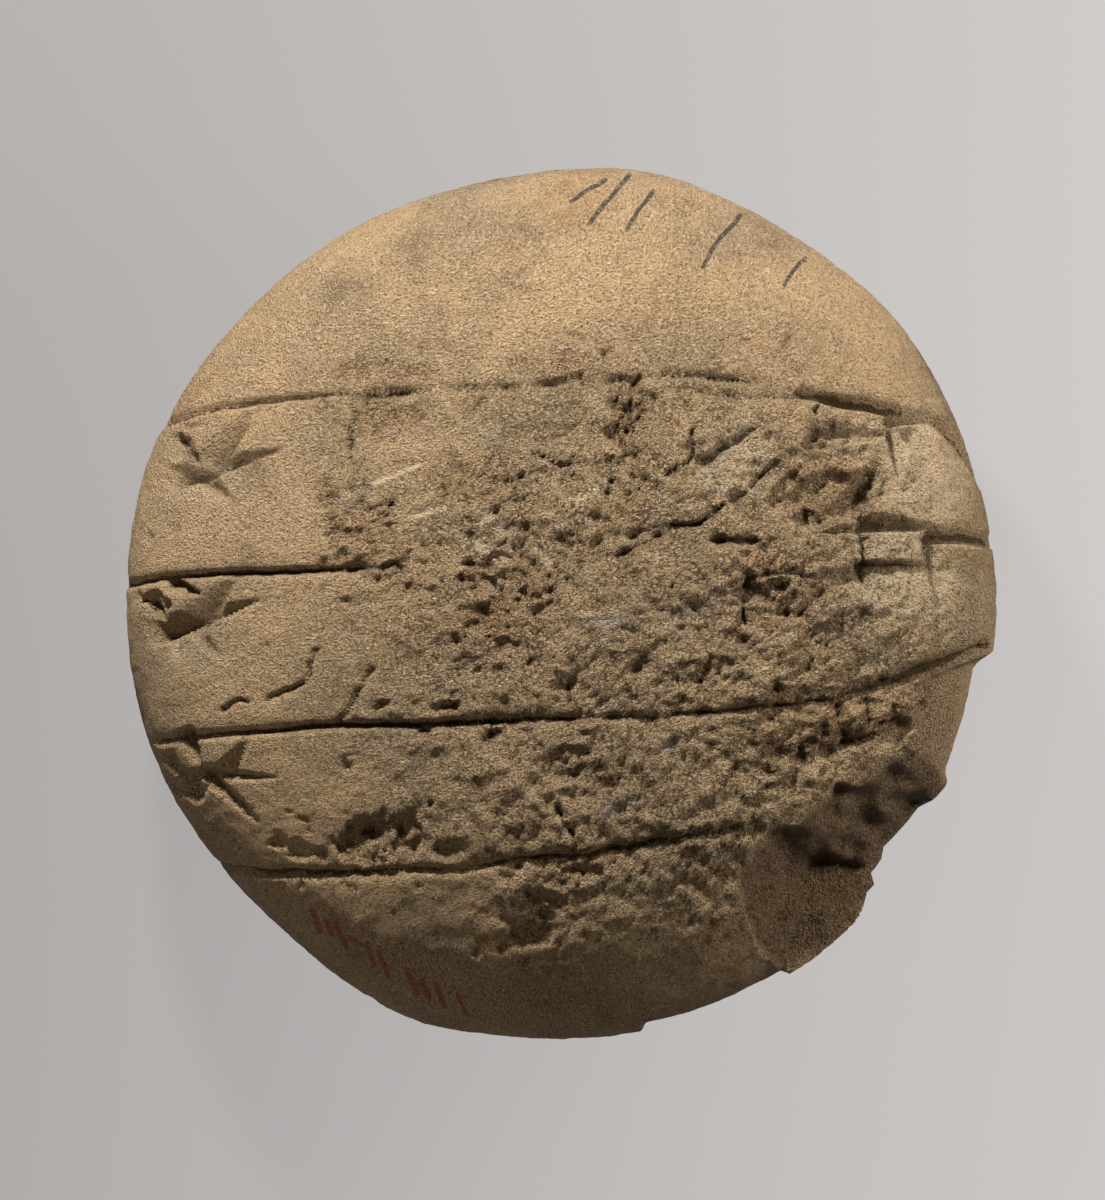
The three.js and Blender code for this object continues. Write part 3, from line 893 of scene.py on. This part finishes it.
class Channel(Enum):
    """What the mesh tells its material at each vertex."""

    CRUMB = "crumb"
    # Painted shade: darker where strokes, hollows and rubble lie deep, and on the broken face.
    PAINTED_SHADE = "painted_shade"
    # Pale worn clay and scratches, with painted highlight on the +X side.
    PALE_AND_HIGHLIGHT = "pale"
    SMEAR = "smear"
    STAIN = "stain"
    ROUGH = "rough"
    CUT = "cut_distance"
    INK = "ink_distance"
    PAINT = "paint_distance"


def cover_all(hollows: tuple[Hollow, ...], places: Array, fray: Array) -> Array:
    """Largest of depth * smooth cover among several patches.

    Args:
        hollows: The patches, whose depths are their strengths.
        places: Plan places, one row each.
        fray: Noise that moves their edges.

    Returns:
        Strength at each place.
    """
    return deepest(hollow.depth * smooth_step(hollow.cover(places, fray), 0.0, 0.5) for hollow in hollows)


@dataclass
class Relief:
    """Everything that the skin carries at each vertex: how deep it lies, what its clay is like, and its
    painted shade and highlight.
    """

    depth: Array
    channels: dict[Channel, Array]


@dataclass(frozen=True)
class Tablet:
    """The clay tablet: one closed mesh with its skin, strokes, damage and broken edge.

    Four grains shake it: coarse and fine ones, one for torn edges and one for the broken face. Each size
    is the width of a noise's widest features, and far is where the distance to a line stops counting.
    Worn clay lies around one place on the written side.
    """

    skin: Skin = Skin()
    fracture: Fracture = Fracture()
    upper: DiscGrid = DiscGrid(300)
    lower: DiscGrid = DiscGrid(60)
    seam_tilt: float = math.radians(98.0)
    seam_gap: float = math.radians(1.5)
    steepness_weight: float = 0.5
    profile_at: float = 3.0
    profile_steps: int = 4001
    coarse: Grain = Grain(11)
    fine: Grain = Grain(23)
    torn: Grain = Grain(37)
    broken: Grain = Grain(53)
    fray_size: float = 1.9
    edge_size: float = 1.6
    shake_size: float = 0.9
    clod_size: float = 1.15
    clod_limit: float = 0.58
    grain_size: float = 1.3
    dent_size: float = 4.0
    swell_size: float = 6.0
    crumb_full: float = 0.7
    worn_at: Place = (8.5, -3.5)
    worn_reach: float = 27.5
    layers_turn: float = 27.0
    layers_size: float = 1.5
    layered_patch: Hollow = Hollow(-5.5, 10.5, 16.0, 11.0, 8, 1.0)
    slab_size: float = 3.2
    slab_steps: float = 2.6
    far: float = 2.0

    def _tilts(self, ring: Array, start: float, end: float, weight: float) -> Array:
        """Tilts that space rings evenly along the profile, from one tilt to another.

        The profile's length counts its plan run in full and its rise by a weight.

        Args:
            ring: Rings from 0 at the start to 1 at the end.
            start: Tilt of ring 0.
            end: Tilt of ring 1.
            weight: Weight of the rise.

        Returns:
            A tilt for each ring.
        """
        tilt = start + (end - start) * np.linspace(0.0, 1.0, self.profile_steps) ** 2
        profile, _, _ = self.skin.form(np.full(len(tilt), self.profile_at), tilt)
        run = np.hypot(profile[:, 0], profile[:, 1])
        step = np.hypot(np.diff(run), weight * np.diff(profile[:, 2]))
        passed = np.concatenate([[0.0], np.cumsum(step)])
        return np.interp(ring * passed[-1], passed, tilt)

    def _surface(self) -> tuple[Array, Array, Array, Array]:
        """Directions, tilts and faces of the whole skin.

        Returns:
            Direction of each vertex, tilt of each vertex, quads, and the triangles that join both grids.
        """
        top_ring, top_angle = self.upper.rings()
        top_tilt = self._tilts(top_ring, 0.0, self.seam_tilt, self.steepness_weight)
        low_ring, low_angle = self.lower.rings()
        low_tilt = self._tilts(low_ring, math.pi, self.seam_tilt + self.seam_gap, 1.0)
        first = len(top_ring)
        quads = np.vstack([self.upper.quads(), self.lower.quads()[:, ::-1] + first])
        outer, inner = self.upper.edge(), self.lower.edge() + first
        many = len(outer) // len(inner)
        each = np.arange(len(inner))
        following = inner[(each + 1) % len(inner)]
        joins = []
        for k in range(many):
            one, two = outer[each * many + k], outer[(each * many + k + 1) % len(outer)]
            joins.append(np.stack([inner if k < many // 2 else following, two, one], axis=1))
        half = outer[each * many + many // 2]
        joins.append(np.stack([inner, following, half], axis=1))
        angle, tilt = np.concatenate([top_angle, low_angle]), np.concatenate([top_tilt, low_tilt])
        return angle, tilt, quads, np.vstack(joins)

    def _wear(self, z: Array, places: Array, fray: Array, edge: Array) -> tuple[Array, Array, Array]:
        """Where the written side is, where its clay has crumbled and where it is worn.

        Args:
            z: Heights of the skin.
            places: Unfolded plan places.
            fray: Noise that shifts the patches, two numbers for each place.
            edge: Noise that moves their edges.

        Returns:
            Share of the written side, strength of the crumbling, and strength of the wear.
        """
        rim = self.skin.rim_height
        written = smooth_step(z, rim - 3.5, rim + 0.5)
        crumb = cover_all(CRUMBLED, places + 0.5 * fray, edge) / self.crumb_full * written
        away = (places - np.array(self.worn_at)) / self.worn_reach
        worn = smooth_step(1.25 - np.hypot(away[:, 0], away[:, 1]), 0.0, 0.6)
        return written, crumb, np.maximum(worn * smooth_step(z, rim - 4.0, rim + 5.0), crumb)

    def _texture(self, points: Array, places: Array, edge: Array, worn: Array) -> Array:
        """Depth of the grain, of thin layers that show in one patch, and of slabs where clay is worn.

        Args:
            points: Points of the skin.
            places: Unfolded plan places.
            edge: Noise that moves the patch's edge.
            worn: Strength of the wear.

        Returns:
            Depth at each vertex.
        """
        made = (0.05 + 0.10 * worn) * self.fine.layered(points, self.grain_size, 3, 0.7)
        made += 0.05 * self.coarse.smooth(points, self.dent_size)
        along, across = turned(places, (0.0, 0.0), self.layers_turn)
        layers = np.stack([0.16 * along, across, np.zeros(len(points))], axis=1)
        shown = smooth_step(self.layered_patch.cover(places, edge), 0.0, 0.3)
        made += 0.14 * shown * self.torn.layered(layers, self.layers_size, 3, 0.6)
        slabs = np.stack([0.62 * along, across, 0.3 * points[:, 2]], axis=1)
        slabs = terraced(self.fine.layered(slabs + 4.0, self.slab_size, 4, 0.65), self.slab_steps)
        return made + (0.04 + 0.30 * worn) * slabs

    def _relief(self, points: Array, normals: Array, places: Array) -> Relief:
        """Work out the depth, the clay's condition and the painted shade and highlight at each vertex.

        Strokes and lines are the deepest of all that cross a place, with their edges frayed by noise.
        Flakes add to them, hollows and crumbled clay dig on, and everything rides on grain whose
        strength grows where the clay is worn.

        Args:
            points: Points of the skin.
            normals: Outward normals.
            places: Unfolded plan places.

        Returns:
            The relief.
        """
        fray = np.stack([grain.layered(points, self.fray_size) for grain in (self.coarse, self.fine)], axis=1)
        edge = self.torn.layered(points, self.edge_size)
        written, crumb, worn = self._wear(points[:, 2], places, fray, edge)
        nudged = places + (0.07 + 0.28 * crumb)[:, None] * fray
        pressed = (stroke.press(nudged) for stroke in (*RULED_LINES, *LEFT_STROKES, *RIGHT_STROKES))
        cracked = (mark.press(places + 0.3 * fray) for mark in (*CRACKS, *SCRATCHES))
        carved = np.maximum(deepest(pressed), deepest(cracked))
        lost = sum(flake.press(points[:, :2], normals, self.skin, self.coarse) for flake in FLAKES)
        shaken = self.coarse.layered(points, self.shake_size, 2)
        lumps = self.torn.lumps(points + 0.3 * shaken[:, None], self.clod_size)
        clods = np.tanh(3.4 * (np.minimum(lumps, self.clod_limit) - 0.36) + 1.6 * shaken)
        dug = deepest(hollow.press(places + 0.45 * fray, edge) for hollow in HOLLOWS)
        dug *= 0.85 + 0.2 * clods
        rubble = crumb * (0.28 + 0.25 * clods) + worn * (0.07 * clods + 0.08 * shaken)
        swell = 0.10 * self.coarse.layered(points, self.swell_size, 2) * (0.4 + worn)
        strokes = np.maximum(carved * (1.0 - 0.35 * crumb) * written, dug * written)
        depth = strokes + lost + rubble + self._texture(points, places, edge, worn) + swell
        scratched = deepest(mark.press(nudged) / mark.depth for mark in SCRATCHES)
        ink, paint, cut = (
            np.min([mark.edge_distance(places + shift * fray, self.far) for mark in marks], axis=0)
            for marks, shift in ((INK, 0.1), (PAINT, 0.1), ((*RULED_LINES, *CRACKS), 0.2))
        )
        channels = {
            Channel.CRUMB: np.clip(crumb, 0.0, 1.0),
            # Painted shade that grows with the depth of strokes, hollows and rubble.
            Channel.PAINTED_SHADE: smooth_step(carved + 0.3 * dug + 0.4 * rubble, 0.25, 1.8),
            # Pale worn patches and scratches; the patches on the +X side are painted highlight.
            Channel.PALE_AND_HIGHLIGHT: np.clip(0.75 * cover_all(PALE_AND_HIGHLIGHT, places, 0.7 * edge) + 2.2 * scratched, 0.0, 1.0),
            Channel.SMEAR: cover_all(SMEARS, places, edge),
            Channel.STAIN: cover_all(STAINS, places, edge),
            Channel.ROUGH: worn,
            Channel.INK: ink,
            Channel.PAINT: paint,
            Channel.CUT: cut,
        }
        return Relief(depth, channels)

    def build(self, name: str) -> bpy.types.Object:
        """Make the tablet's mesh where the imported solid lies.

        Args:
            name: Name of the piece, and of the CAD node that it stands for.

        Returns:
            The object, at the origin, with its place in its mesh.
        """
        angle, tilt, quads, joins = self._surface()
        points, normals, places = self.skin.form(angle, tilt)
        relief = self._relief(points, normals, places)
        points = points - normals * relief.depth[:, None]
        points, travel = self.fracture.slide(points, self.skin, self.broken)
        fresh = smooth_step(travel, 0.2, 1.0)
        # The broken face takes crumbled, worn clay and painted shade.
        for channel, strength in ((Channel.CRUMB, 0.35), (Channel.ROUGH, 1.0), (Channel.PAINTED_SHADE, 0.9)):
            relief.channels[channel] = np.maximum(relief.channels[channel], strength * fresh)
        low, high = (np.array(corner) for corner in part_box(name))
        unit = (high[0] - low[0]) / self.skin.diameter
        middle = (points.min(0) + points.max(0)) / 2.0
        points[:, :2] -= middle[:2]
        points[:, 2] = np.maximum(points[:, 2], 0.0)
        seat = np.array([(low[0] + high[0]) / 2.0, (low[1] + high[1]) / 2.0, low[2]])
        mesh = bpy.data.meshes.new(name)
        faces = [*map(tuple, quads.tolist()), *map(tuple, joins.tolist())]
        mesh.from_pydata((points * unit + seat).tolist(), [], faces)
        mesh.polygons.foreach_set("use_smooth", np.ones(len(faces), bool))
        for channel, values in relief.channels.items():
            attribute = mesh.attributes.new(channel.value, "FLOAT", "POINT")
            attribute.data.foreach_set("value", values.astype(np.float32))
        mesh.update()
        return put(name + "_clay", mesh)


class NodeSheet:
    """A material's nodes, and the one way in which they are added."""

    def __init__(self, name: str) -> None:
        """Start a material with nothing but its output.

        Args:
            name: Name of the material.
        """
        self.material = bpy.data.materials.new(name)
        self.material.use_nodes = True
        self.tree = self.material.node_tree
        self.tree.nodes.clear()

    def node(
        self, kind: str, settings: dict[str, Any] | None = None, inputs: dict[int | str, Any] | None = None
    ) -> bpy.types.Node:
        """Add a node, set it, then fill its sockets with values or links.

        Args:
            kind: The node's type.
            settings: Properties to set first.
            inputs: Values, sockets or Values for its input sockets, by name or number.

        Returns:
            The node.
        """
        made = self.tree.nodes.new(kind)
        for key, value in (settings or {}).items():
            setattr(made, key, value)
        for key, value in (inputs or {}).items():
            link = value.socket if isinstance(value, Value) else value
            if isinstance(link, bpy.types.NodeSocket):
                self.tree.links.new(link, made.inputs[key])
            else:
                made.inputs[key].default_value = value
        return made

    def maths(self, operation: str, *terms: "Value | float") -> "Value":
        """Add a Math node.

        Args:
            operation: Its operation.
            terms: Its inputs.

        Returns:
            Its result.
        """
        node = self.node("ShaderNodeMath", {"operation": operation}, dict(enumerate(terms)))
        return Value(self, node.outputs[0])

    def vector_maths(self, operation: str, inputs: dict[int | str, Any]) -> bpy.types.Node:
        """Add a Vector Math node with an operation and inputs."""
        return self.node("ShaderNodeVectorMath", {"operation": operation}, inputs)

    def attribute(self, channel: Channel) -> "Value":
        """A number that the mesh gives at each vertex.

        Args:
            channel: Which one.

        Returns:
            The number.
        """
        node = self.node("ShaderNodeAttribute", {"attribute_name": channel.value})
        return Value(self, node.outputs["Fac"])

    def noise(
        self, where: bpy.types.NodeSocket, size: float, detail: float = 3.0, rough: float = 0.55
    ) -> "Value":
        """Smooth noise of a given size, from 0 to 1.

        Args:
            where: Coordinates in millimetres.
            size: Width of its widest features in millimetres.
            detail: Number of finer layers.
            rough: Strength of each finer layer.

        Returns:
            The noise.
        """
        inputs = {"Vector": where, "Scale": 1.0 / size, "Detail": detail, "Roughness": rough}
        return Value(self, self.node("ShaderNodeTexNoise", None, inputs).outputs[0])

    def specks(self, where: bpy.types.NodeSocket, size: float) -> "Value":
        """Distance to the nearest of scattered specks, as a share of their spacing.

        Args:
            where: Coordinates in millimetres.
            size: Spacing of the specks in millimetres.

        Returns:
            The distance.
        """
        inputs = {"Vector": where, "Scale": 1.0 / size, "Randomness": 1.0}
        return Value(self, self.node("ShaderNodeTexVoronoi", None, inputs).outputs["Distance"])

    def blend(self, share: "Value | float", first: Any, second: Any) -> bpy.types.NodeSocket:
        """Mix two colours.

        Args:
            share: Share of the second colour.
            first: The first colour.
            second: The second colour.

        Returns:
            The mixed colour.
        """
        settings = {"data_type": "RGBA", "clamp_factor": True}
        return self.node("ShaderNodeMix", settings, {0: share, 6: first, 7: second}).outputs[2]

    def finished(self, inputs: dict[int | str, Any]) -> bpy.types.Material:
        """End the material in one shader.

        Args:
            inputs: Values, sockets or Values for the shader's input sockets.

        Returns:
            The material.
        """
        shader = self.node("ShaderNodeBsdfPrincipled", None, inputs)
        self.node("ShaderNodeOutputMaterial", None, {"Surface": shader.outputs[0]})
        return self.material


@dataclass(frozen=True)
class Value:
    """A number that changes over a surface, for use in Python expressions."""

    sheet: NodeSheet
    socket: bpy.types.NodeSocket

    def __add__(self, other: "Value | float") -> "Value":
        """The sum."""
        return self.sheet.maths("ADD", self, other)

    def __sub__(self, other: "Value | float") -> "Value":
        """The difference."""
        return self.sheet.maths("SUBTRACT", self, other)

    def __rsub__(self, other: float) -> "Value":
        """The difference, taken from a plain number."""
        return self.sheet.maths("SUBTRACT", other, self)

    def __mul__(self, other: "Value | float") -> "Value":
        """The product."""
        return self.sheet.maths("MULTIPLY", self, other)

    __radd__ = __add__
    __rmul__ = __mul__

    def between(self, low: float, high: float) -> "Value":
        """Blend smoothly from 0 at low to 1 at high; low may be the larger.

        Args:
            low: Number that gives 0.
            high: Number that gives 1.

        Returns:
            The blend.
        """
        inputs = {"Value": self, "From Min": low, "From Max": high}
        node = self.sheet.node("ShaderNodeMapRange", {"interpolation_type": "SMOOTHSTEP"}, inputs)
        return Value(self.sheet, node.outputs[0])


@dataclass(frozen=True)
class DryClay:
    """The finish of old, dry, unglazed clay: sandy, stained, pale where worn, with painted shade and
    highlight.
    """

    buff: Colour = (0.46, 0.312, 0.172, 1.0)
    drab: Colour = (0.33, 0.235, 0.135, 1.0)
    sand: Colour = (0.55, 0.395, 0.245, 1.0)
    rust: Colour = (0.38, 0.22, 0.11, 1.0)
    # Dark brown: real blotches, and the colour of all painted shade.
    soil_and_shade: Colour = (0.085, 0.052, 0.026, 1.0)
    # Pale: worn clay and scratches, and the colour of painted highlight.
    cream_and_highlight: Colour = (0.64, 0.50, 0.335, 1.0)
    lead: Colour = (0.31, 0.32, 0.30, 1.0)
    black: Colour = (0.03, 0.03, 0.035, 1.0)
    red: Colour = (0.36, 0.065, 0.048, 1.0)
    roughness: float = 0.93
    shine: float = 0.18
    grain_size: float = 0.4
    grain_height: float = 1.1
    grit_size: float = 0.2
    grit_height: float = 0.65
    speck_spacing: float = 0.8
    pebble_spacing: float = 0.36
    cut_depth: float = 0.22

    def material(self) -> bpy.types.Material:
        """Make the material.

        Colour runs from drab to buff to sand in patches of several sizes, turns rusty where clay has
        crumbled, pale in worn patches and scratches, and takes ink and paint from the distances to their
        strokes. Painted shade darkens it where strokes are deep, along the bottoms of cuts, in pits and
        between grains; painted highlight lightens raised grain and the pale patches on the +X side. Height
        for the bump is in millimetres.

        Returns:
            The material.
        """
        sheet = NodeSheet("dry_clay")
        metres = sheet.node("ShaderNodeTexCoord").outputs["Object"]
        where = sheet.vector_maths("SCALE", {"Vector": metres, "Scale": 1000.0}).outputs[0]
        crumb, painted_shade, pale, smear, stain, rough, cut, ink, paint = map(sheet.attribute, Channel)
        broad, middling = sheet.noise(where, 11.0, 4.0), sheet.noise(where, 2.4, 5.0, 0.65)
        blotches, crumbs = sheet.noise(where, 5.2, 3.0, 0.6), sheet.noise(where, 1.1, 4.0, 0.68)
        fine = sheet.noise(where, self.grain_size, 4.0, 0.7)
        sharp = sheet.noise(where, self.grit_size, 2.0, 0.7)
        specks, pebbles = sheet.specks(where, self.speck_spacing), sheet.specks(where, self.pebble_spacing)
        patchy, worn_through = middling.between(0.40, 0.62), fine.between(0.38, 0.50)
        # Share of the narrow cut at the bottom of ruled lines and cracks: it lowers the bump and darkens the
        # colour as painted shade.
        gap = (cut + (fine - 0.5) * 0.5).between(0.06, -0.05)
        grainy = 0.5 + 0.35 * rough
        coats = (
            (broad.between(0.40, 0.64), self.drab),
            (middling.between(0.50, 0.72) * 0.7, self.sand),
            (blotches.between(0.54, 0.74) * 0.4, self.soil_and_shade),
            (rough * 0.3, self.drab),
            (stain * middling.between(0.3, 0.6) * 0.8, self.rust),
            (crumb * middling.between(0.30, 0.60) * 0.85, self.rust),
            # Pale worn clay and scratches; the patches on the +X side are painted highlight.
            (pale * middling.between(0.22, 0.48) * 0.8, self.cream_and_highlight),
            # Lighter on the highs and darker on the lows of the noise that also shapes the bump: painted
            # highlight and painted shade on the grain.
            (fine.between(0.52, 0.70) * grainy, self.cream_and_highlight),
            (fine.between(0.48, 0.30) * grainy, self.soil_and_shade),
            (sharp.between(0.52, 0.68) * grainy, self.cream_and_highlight),
            (sharp.between(0.47, 0.30) * (0.6 + 0.35 * rough), self.soil_and_shade),
            # Paler still where the pale mark is strongest: scratches, and painted highlight on the +X side.
            (pale.between(0.78, 0.98) * 0.55, self.cream_and_highlight),
            # Dark in the specks' pits and in the crevices between pebbles: painted shade.
            (specks.between(0.20, 0.12) * 0.5, self.soil_and_shade),
            (pebbles.between(0.42, 0.66) * patchy * (0.3 + 0.5 * rough), self.soil_and_shade),
            # Dark where strokes and hollows lie deep: painted shade.
            (painted_shade * 0.5, self.soil_and_shade),
            # Dark along the bottoms of ruled lines and cracks: painted shade in the narrow cut.
            (gap * 0.85, self.soil_and_shade),
            (smear * fine.between(0.40, 0.62) * 0.6, self.lead),
            (ink.between(0.06, -0.06) * worn_through * 0.88, self.black),
            (paint.between(0.06, -0.06) * worn_through * 0.8, self.red),
        )
        colour: Any = self.buff
        for share, coat in coats:
            colour = sheet.blend(share, colour, coat)
        holes = specks.between(0.26, 0.08) * (0.06 + 0.10 * rough)
        grains = pebbles.between(0.12, 0.62) * patchy * (0.07 + 0.08 * rough + 0.12 * crumb)
        height = (fine - 0.5) * self.grain_height * (0.7 + 0.7 * rough)
        height = height + (sharp - 0.5) * self.grit_height * (0.7 + 0.6 * rough)
        height = height + (crumbs - 0.5) * (0.25 + 1.0 * rough + 0.5 * crumb)
        height = height - holes - grains - gap * self.cut_depth
        bump = sheet.node("ShaderNodeBump", None, {"Strength": 1.0, "Distance": 0.001, "Height": height})
        return sheet.finished({
            "Base Color": colour,
            "Roughness": self.roughness,
            "Specular IOR Level": self.shine,
            "Normal": bump.outputs[0],
        })


@dataclass(frozen=True)
class PaleFloor:
    """The finish of the floor: a plain pale sheet that glows as painted light, brighter towards one side."""

    grey: Colour = (0.045, 0.044, 0.044, 1.0)
    dim_glow: Colour = (0.345, 0.328, 0.324, 1.0)
    bright_glow: Colour = (0.57, 0.546, 0.54, 1.0)
    brighter_towards: tuple[float, float, float] = (0.96, -0.28, 0.0)
    reach: float = 0.085

    def material(self) -> bpy.types.Material:
        """Make the material.

        Returns:
            The material.
        """
        sheet = NodeSheet("pale_floor")
        place = sheet.node("ShaderNodeTexCoord").outputs["Object"]
        across = sheet.vector_maths("DOT_PRODUCT", {0: place, 1: self.brighter_towards}).outputs["Value"]
        share = Value(sheet, across).between(-self.reach, self.reach)
        return sheet.finished({
            "Base Color": self.grey,
            "Roughness": 0.9,
            "Specular IOR Level": 0.0,
            # Painted light: the floor glows, dimmer on one side and brighter towards the other.
            "Emission Color": sheet.blend(share, self.dim_glow, self.bright_glow),
            "Emission Strength": 1.0,
        })


@dataclass(frozen=True)
class SoftLight:
    """A square studio light: bearing and height in degrees, distance and size in tablet widths."""

    name: str
    bearing: float
    height: float
    distance: float
    size: float
    watts: float
    tint: tuple[float, float, float]

    def hang(self, middle: Array, width: float) -> None:
        """Hang the light so that it faces the tablet.

        Args:
            middle: Middle of the tablet.
            width: Width of the tablet.
        """
        bearing, height = math.radians(self.bearing), math.radians(self.height)
        flat = math.cos(height)
        ray = np.array([math.cos(bearing) * flat, math.sin(bearing) * flat, math.sin(height)])
        lamp = bpy.data.lights.new(self.name, "AREA")
        lamp.shape, lamp.size, lamp.energy, lamp.color = "SQUARE", self.size * width, self.watts, self.tint
        made = put(self.name, lamp)
        made.location = middle + ray * self.distance * width
        made.rotation_euler = (math.pi / 2 - height, 0.0, bearing + math.pi / 2)


@dataclass(frozen=True)
class Studio:
    """The pale floor, the lights and the camera that looks straight down on the tablet."""

    frame_height: float = 1.3802
    aside: Place = (-0.0104, 0.0041)
    camera_distance: float = 14.0
    floor_reach: float = 40.0
    ambience: Colour = (0.90, 0.77, 0.62, 1.0)
    ambience_strength: float = 0.065
    lights: tuple[SoftLight, ...] = (
        SoftLight("key_light", 109.0, 33.0, 2.6, 0.32, 1.08, (1.0, 0.975, 0.925)),
        SoftLight("side_light", 16.0, 17.0, 2.4, 0.8, 0.37, (1.0, 0.95, 0.85)),
        SoftLight("fill_light", 222.0, 30.0, 4.0, 2.0, 0.24, (1.0, 0.94, 0.83)),
    )

    def set_up(self, low: Array, high: Array, rim_height: float) -> None:
        """Lay the floor, hang the lights and aim the camera.

        Args:
            low: Lowest corner of the tablet's box.
            high: Highest corner of the tablet's box.
            rim_height: Height of the widest line, where the view's width is measured.
        """
        width = high[0] - low[0]
        middle = (low + high) / 2.0
        reach = self.floor_reach * width
        mesh = bpy.data.meshes.new("floor")
        signs = ((-1, -1), (1, -1), (1, 1), (-1, 1))
        corners = [(middle[0] + a * reach, middle[1] + b * reach, low[2]) for a, b in signs]
        mesh.from_pydata(corners, [], [(0, 1, 2, 3)])
        mesh.materials.append(PaleFloor().material())
        floor = put("floor", mesh)
        floor.visible_diffuse = False
        for light in self.lights:
            light.hang(middle, width)
        world = bpy.data.worlds.new("studio_air")
        world.use_nodes = True
        background = world.node_tree.nodes["Background"]
        background.inputs["Color"].default_value = self.ambience
        background.inputs["Strength"].default_value = self.ambience_strength
        bpy.context.scene.world = world
        lens = bpy.data.cameras.new("camera")
        lens.sensor_width = 36.0
        lens.lens = lens.sensor_width * self.camera_distance / self.frame_height
        lens.clip_start, lens.clip_end = 0.01, 100.0
        camera = put("camera", lens)
        camera.location = (
            middle[0] + self.aside[0] * width,
            middle[1] + self.aside[1] * width,
            rim_height + self.camera_distance * width,
        )
        bpy.context.scene.camera = camera
        bpy.context.scene.view_settings.view_transform = "Standard"


def main() -> None:
    """Build the tablet, dress it, and set up the studio."""
    logging.basicConfig(level=logging.INFO, format="%(name)s: %(message)s")
    low, high = (np.array(corner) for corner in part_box("tablet"))
    tablet = Tablet()
    piece = tablet.build("tablet")
    piece.data.materials.append(DryClay().material())
    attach(piece, "root")
    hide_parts("tablet")
    log.info("tablet: %d vertices, %d faces", len(piece.data.vertices), len(piece.data.polygons))
    rim_height = low[2] + (high[2] - low[2]) * tablet.skin.rim_share
    Studio().set_up(low, high, rim_height)
    log.info("studio: floor, lights and camera")


if __name__ == "__main__":
    main()
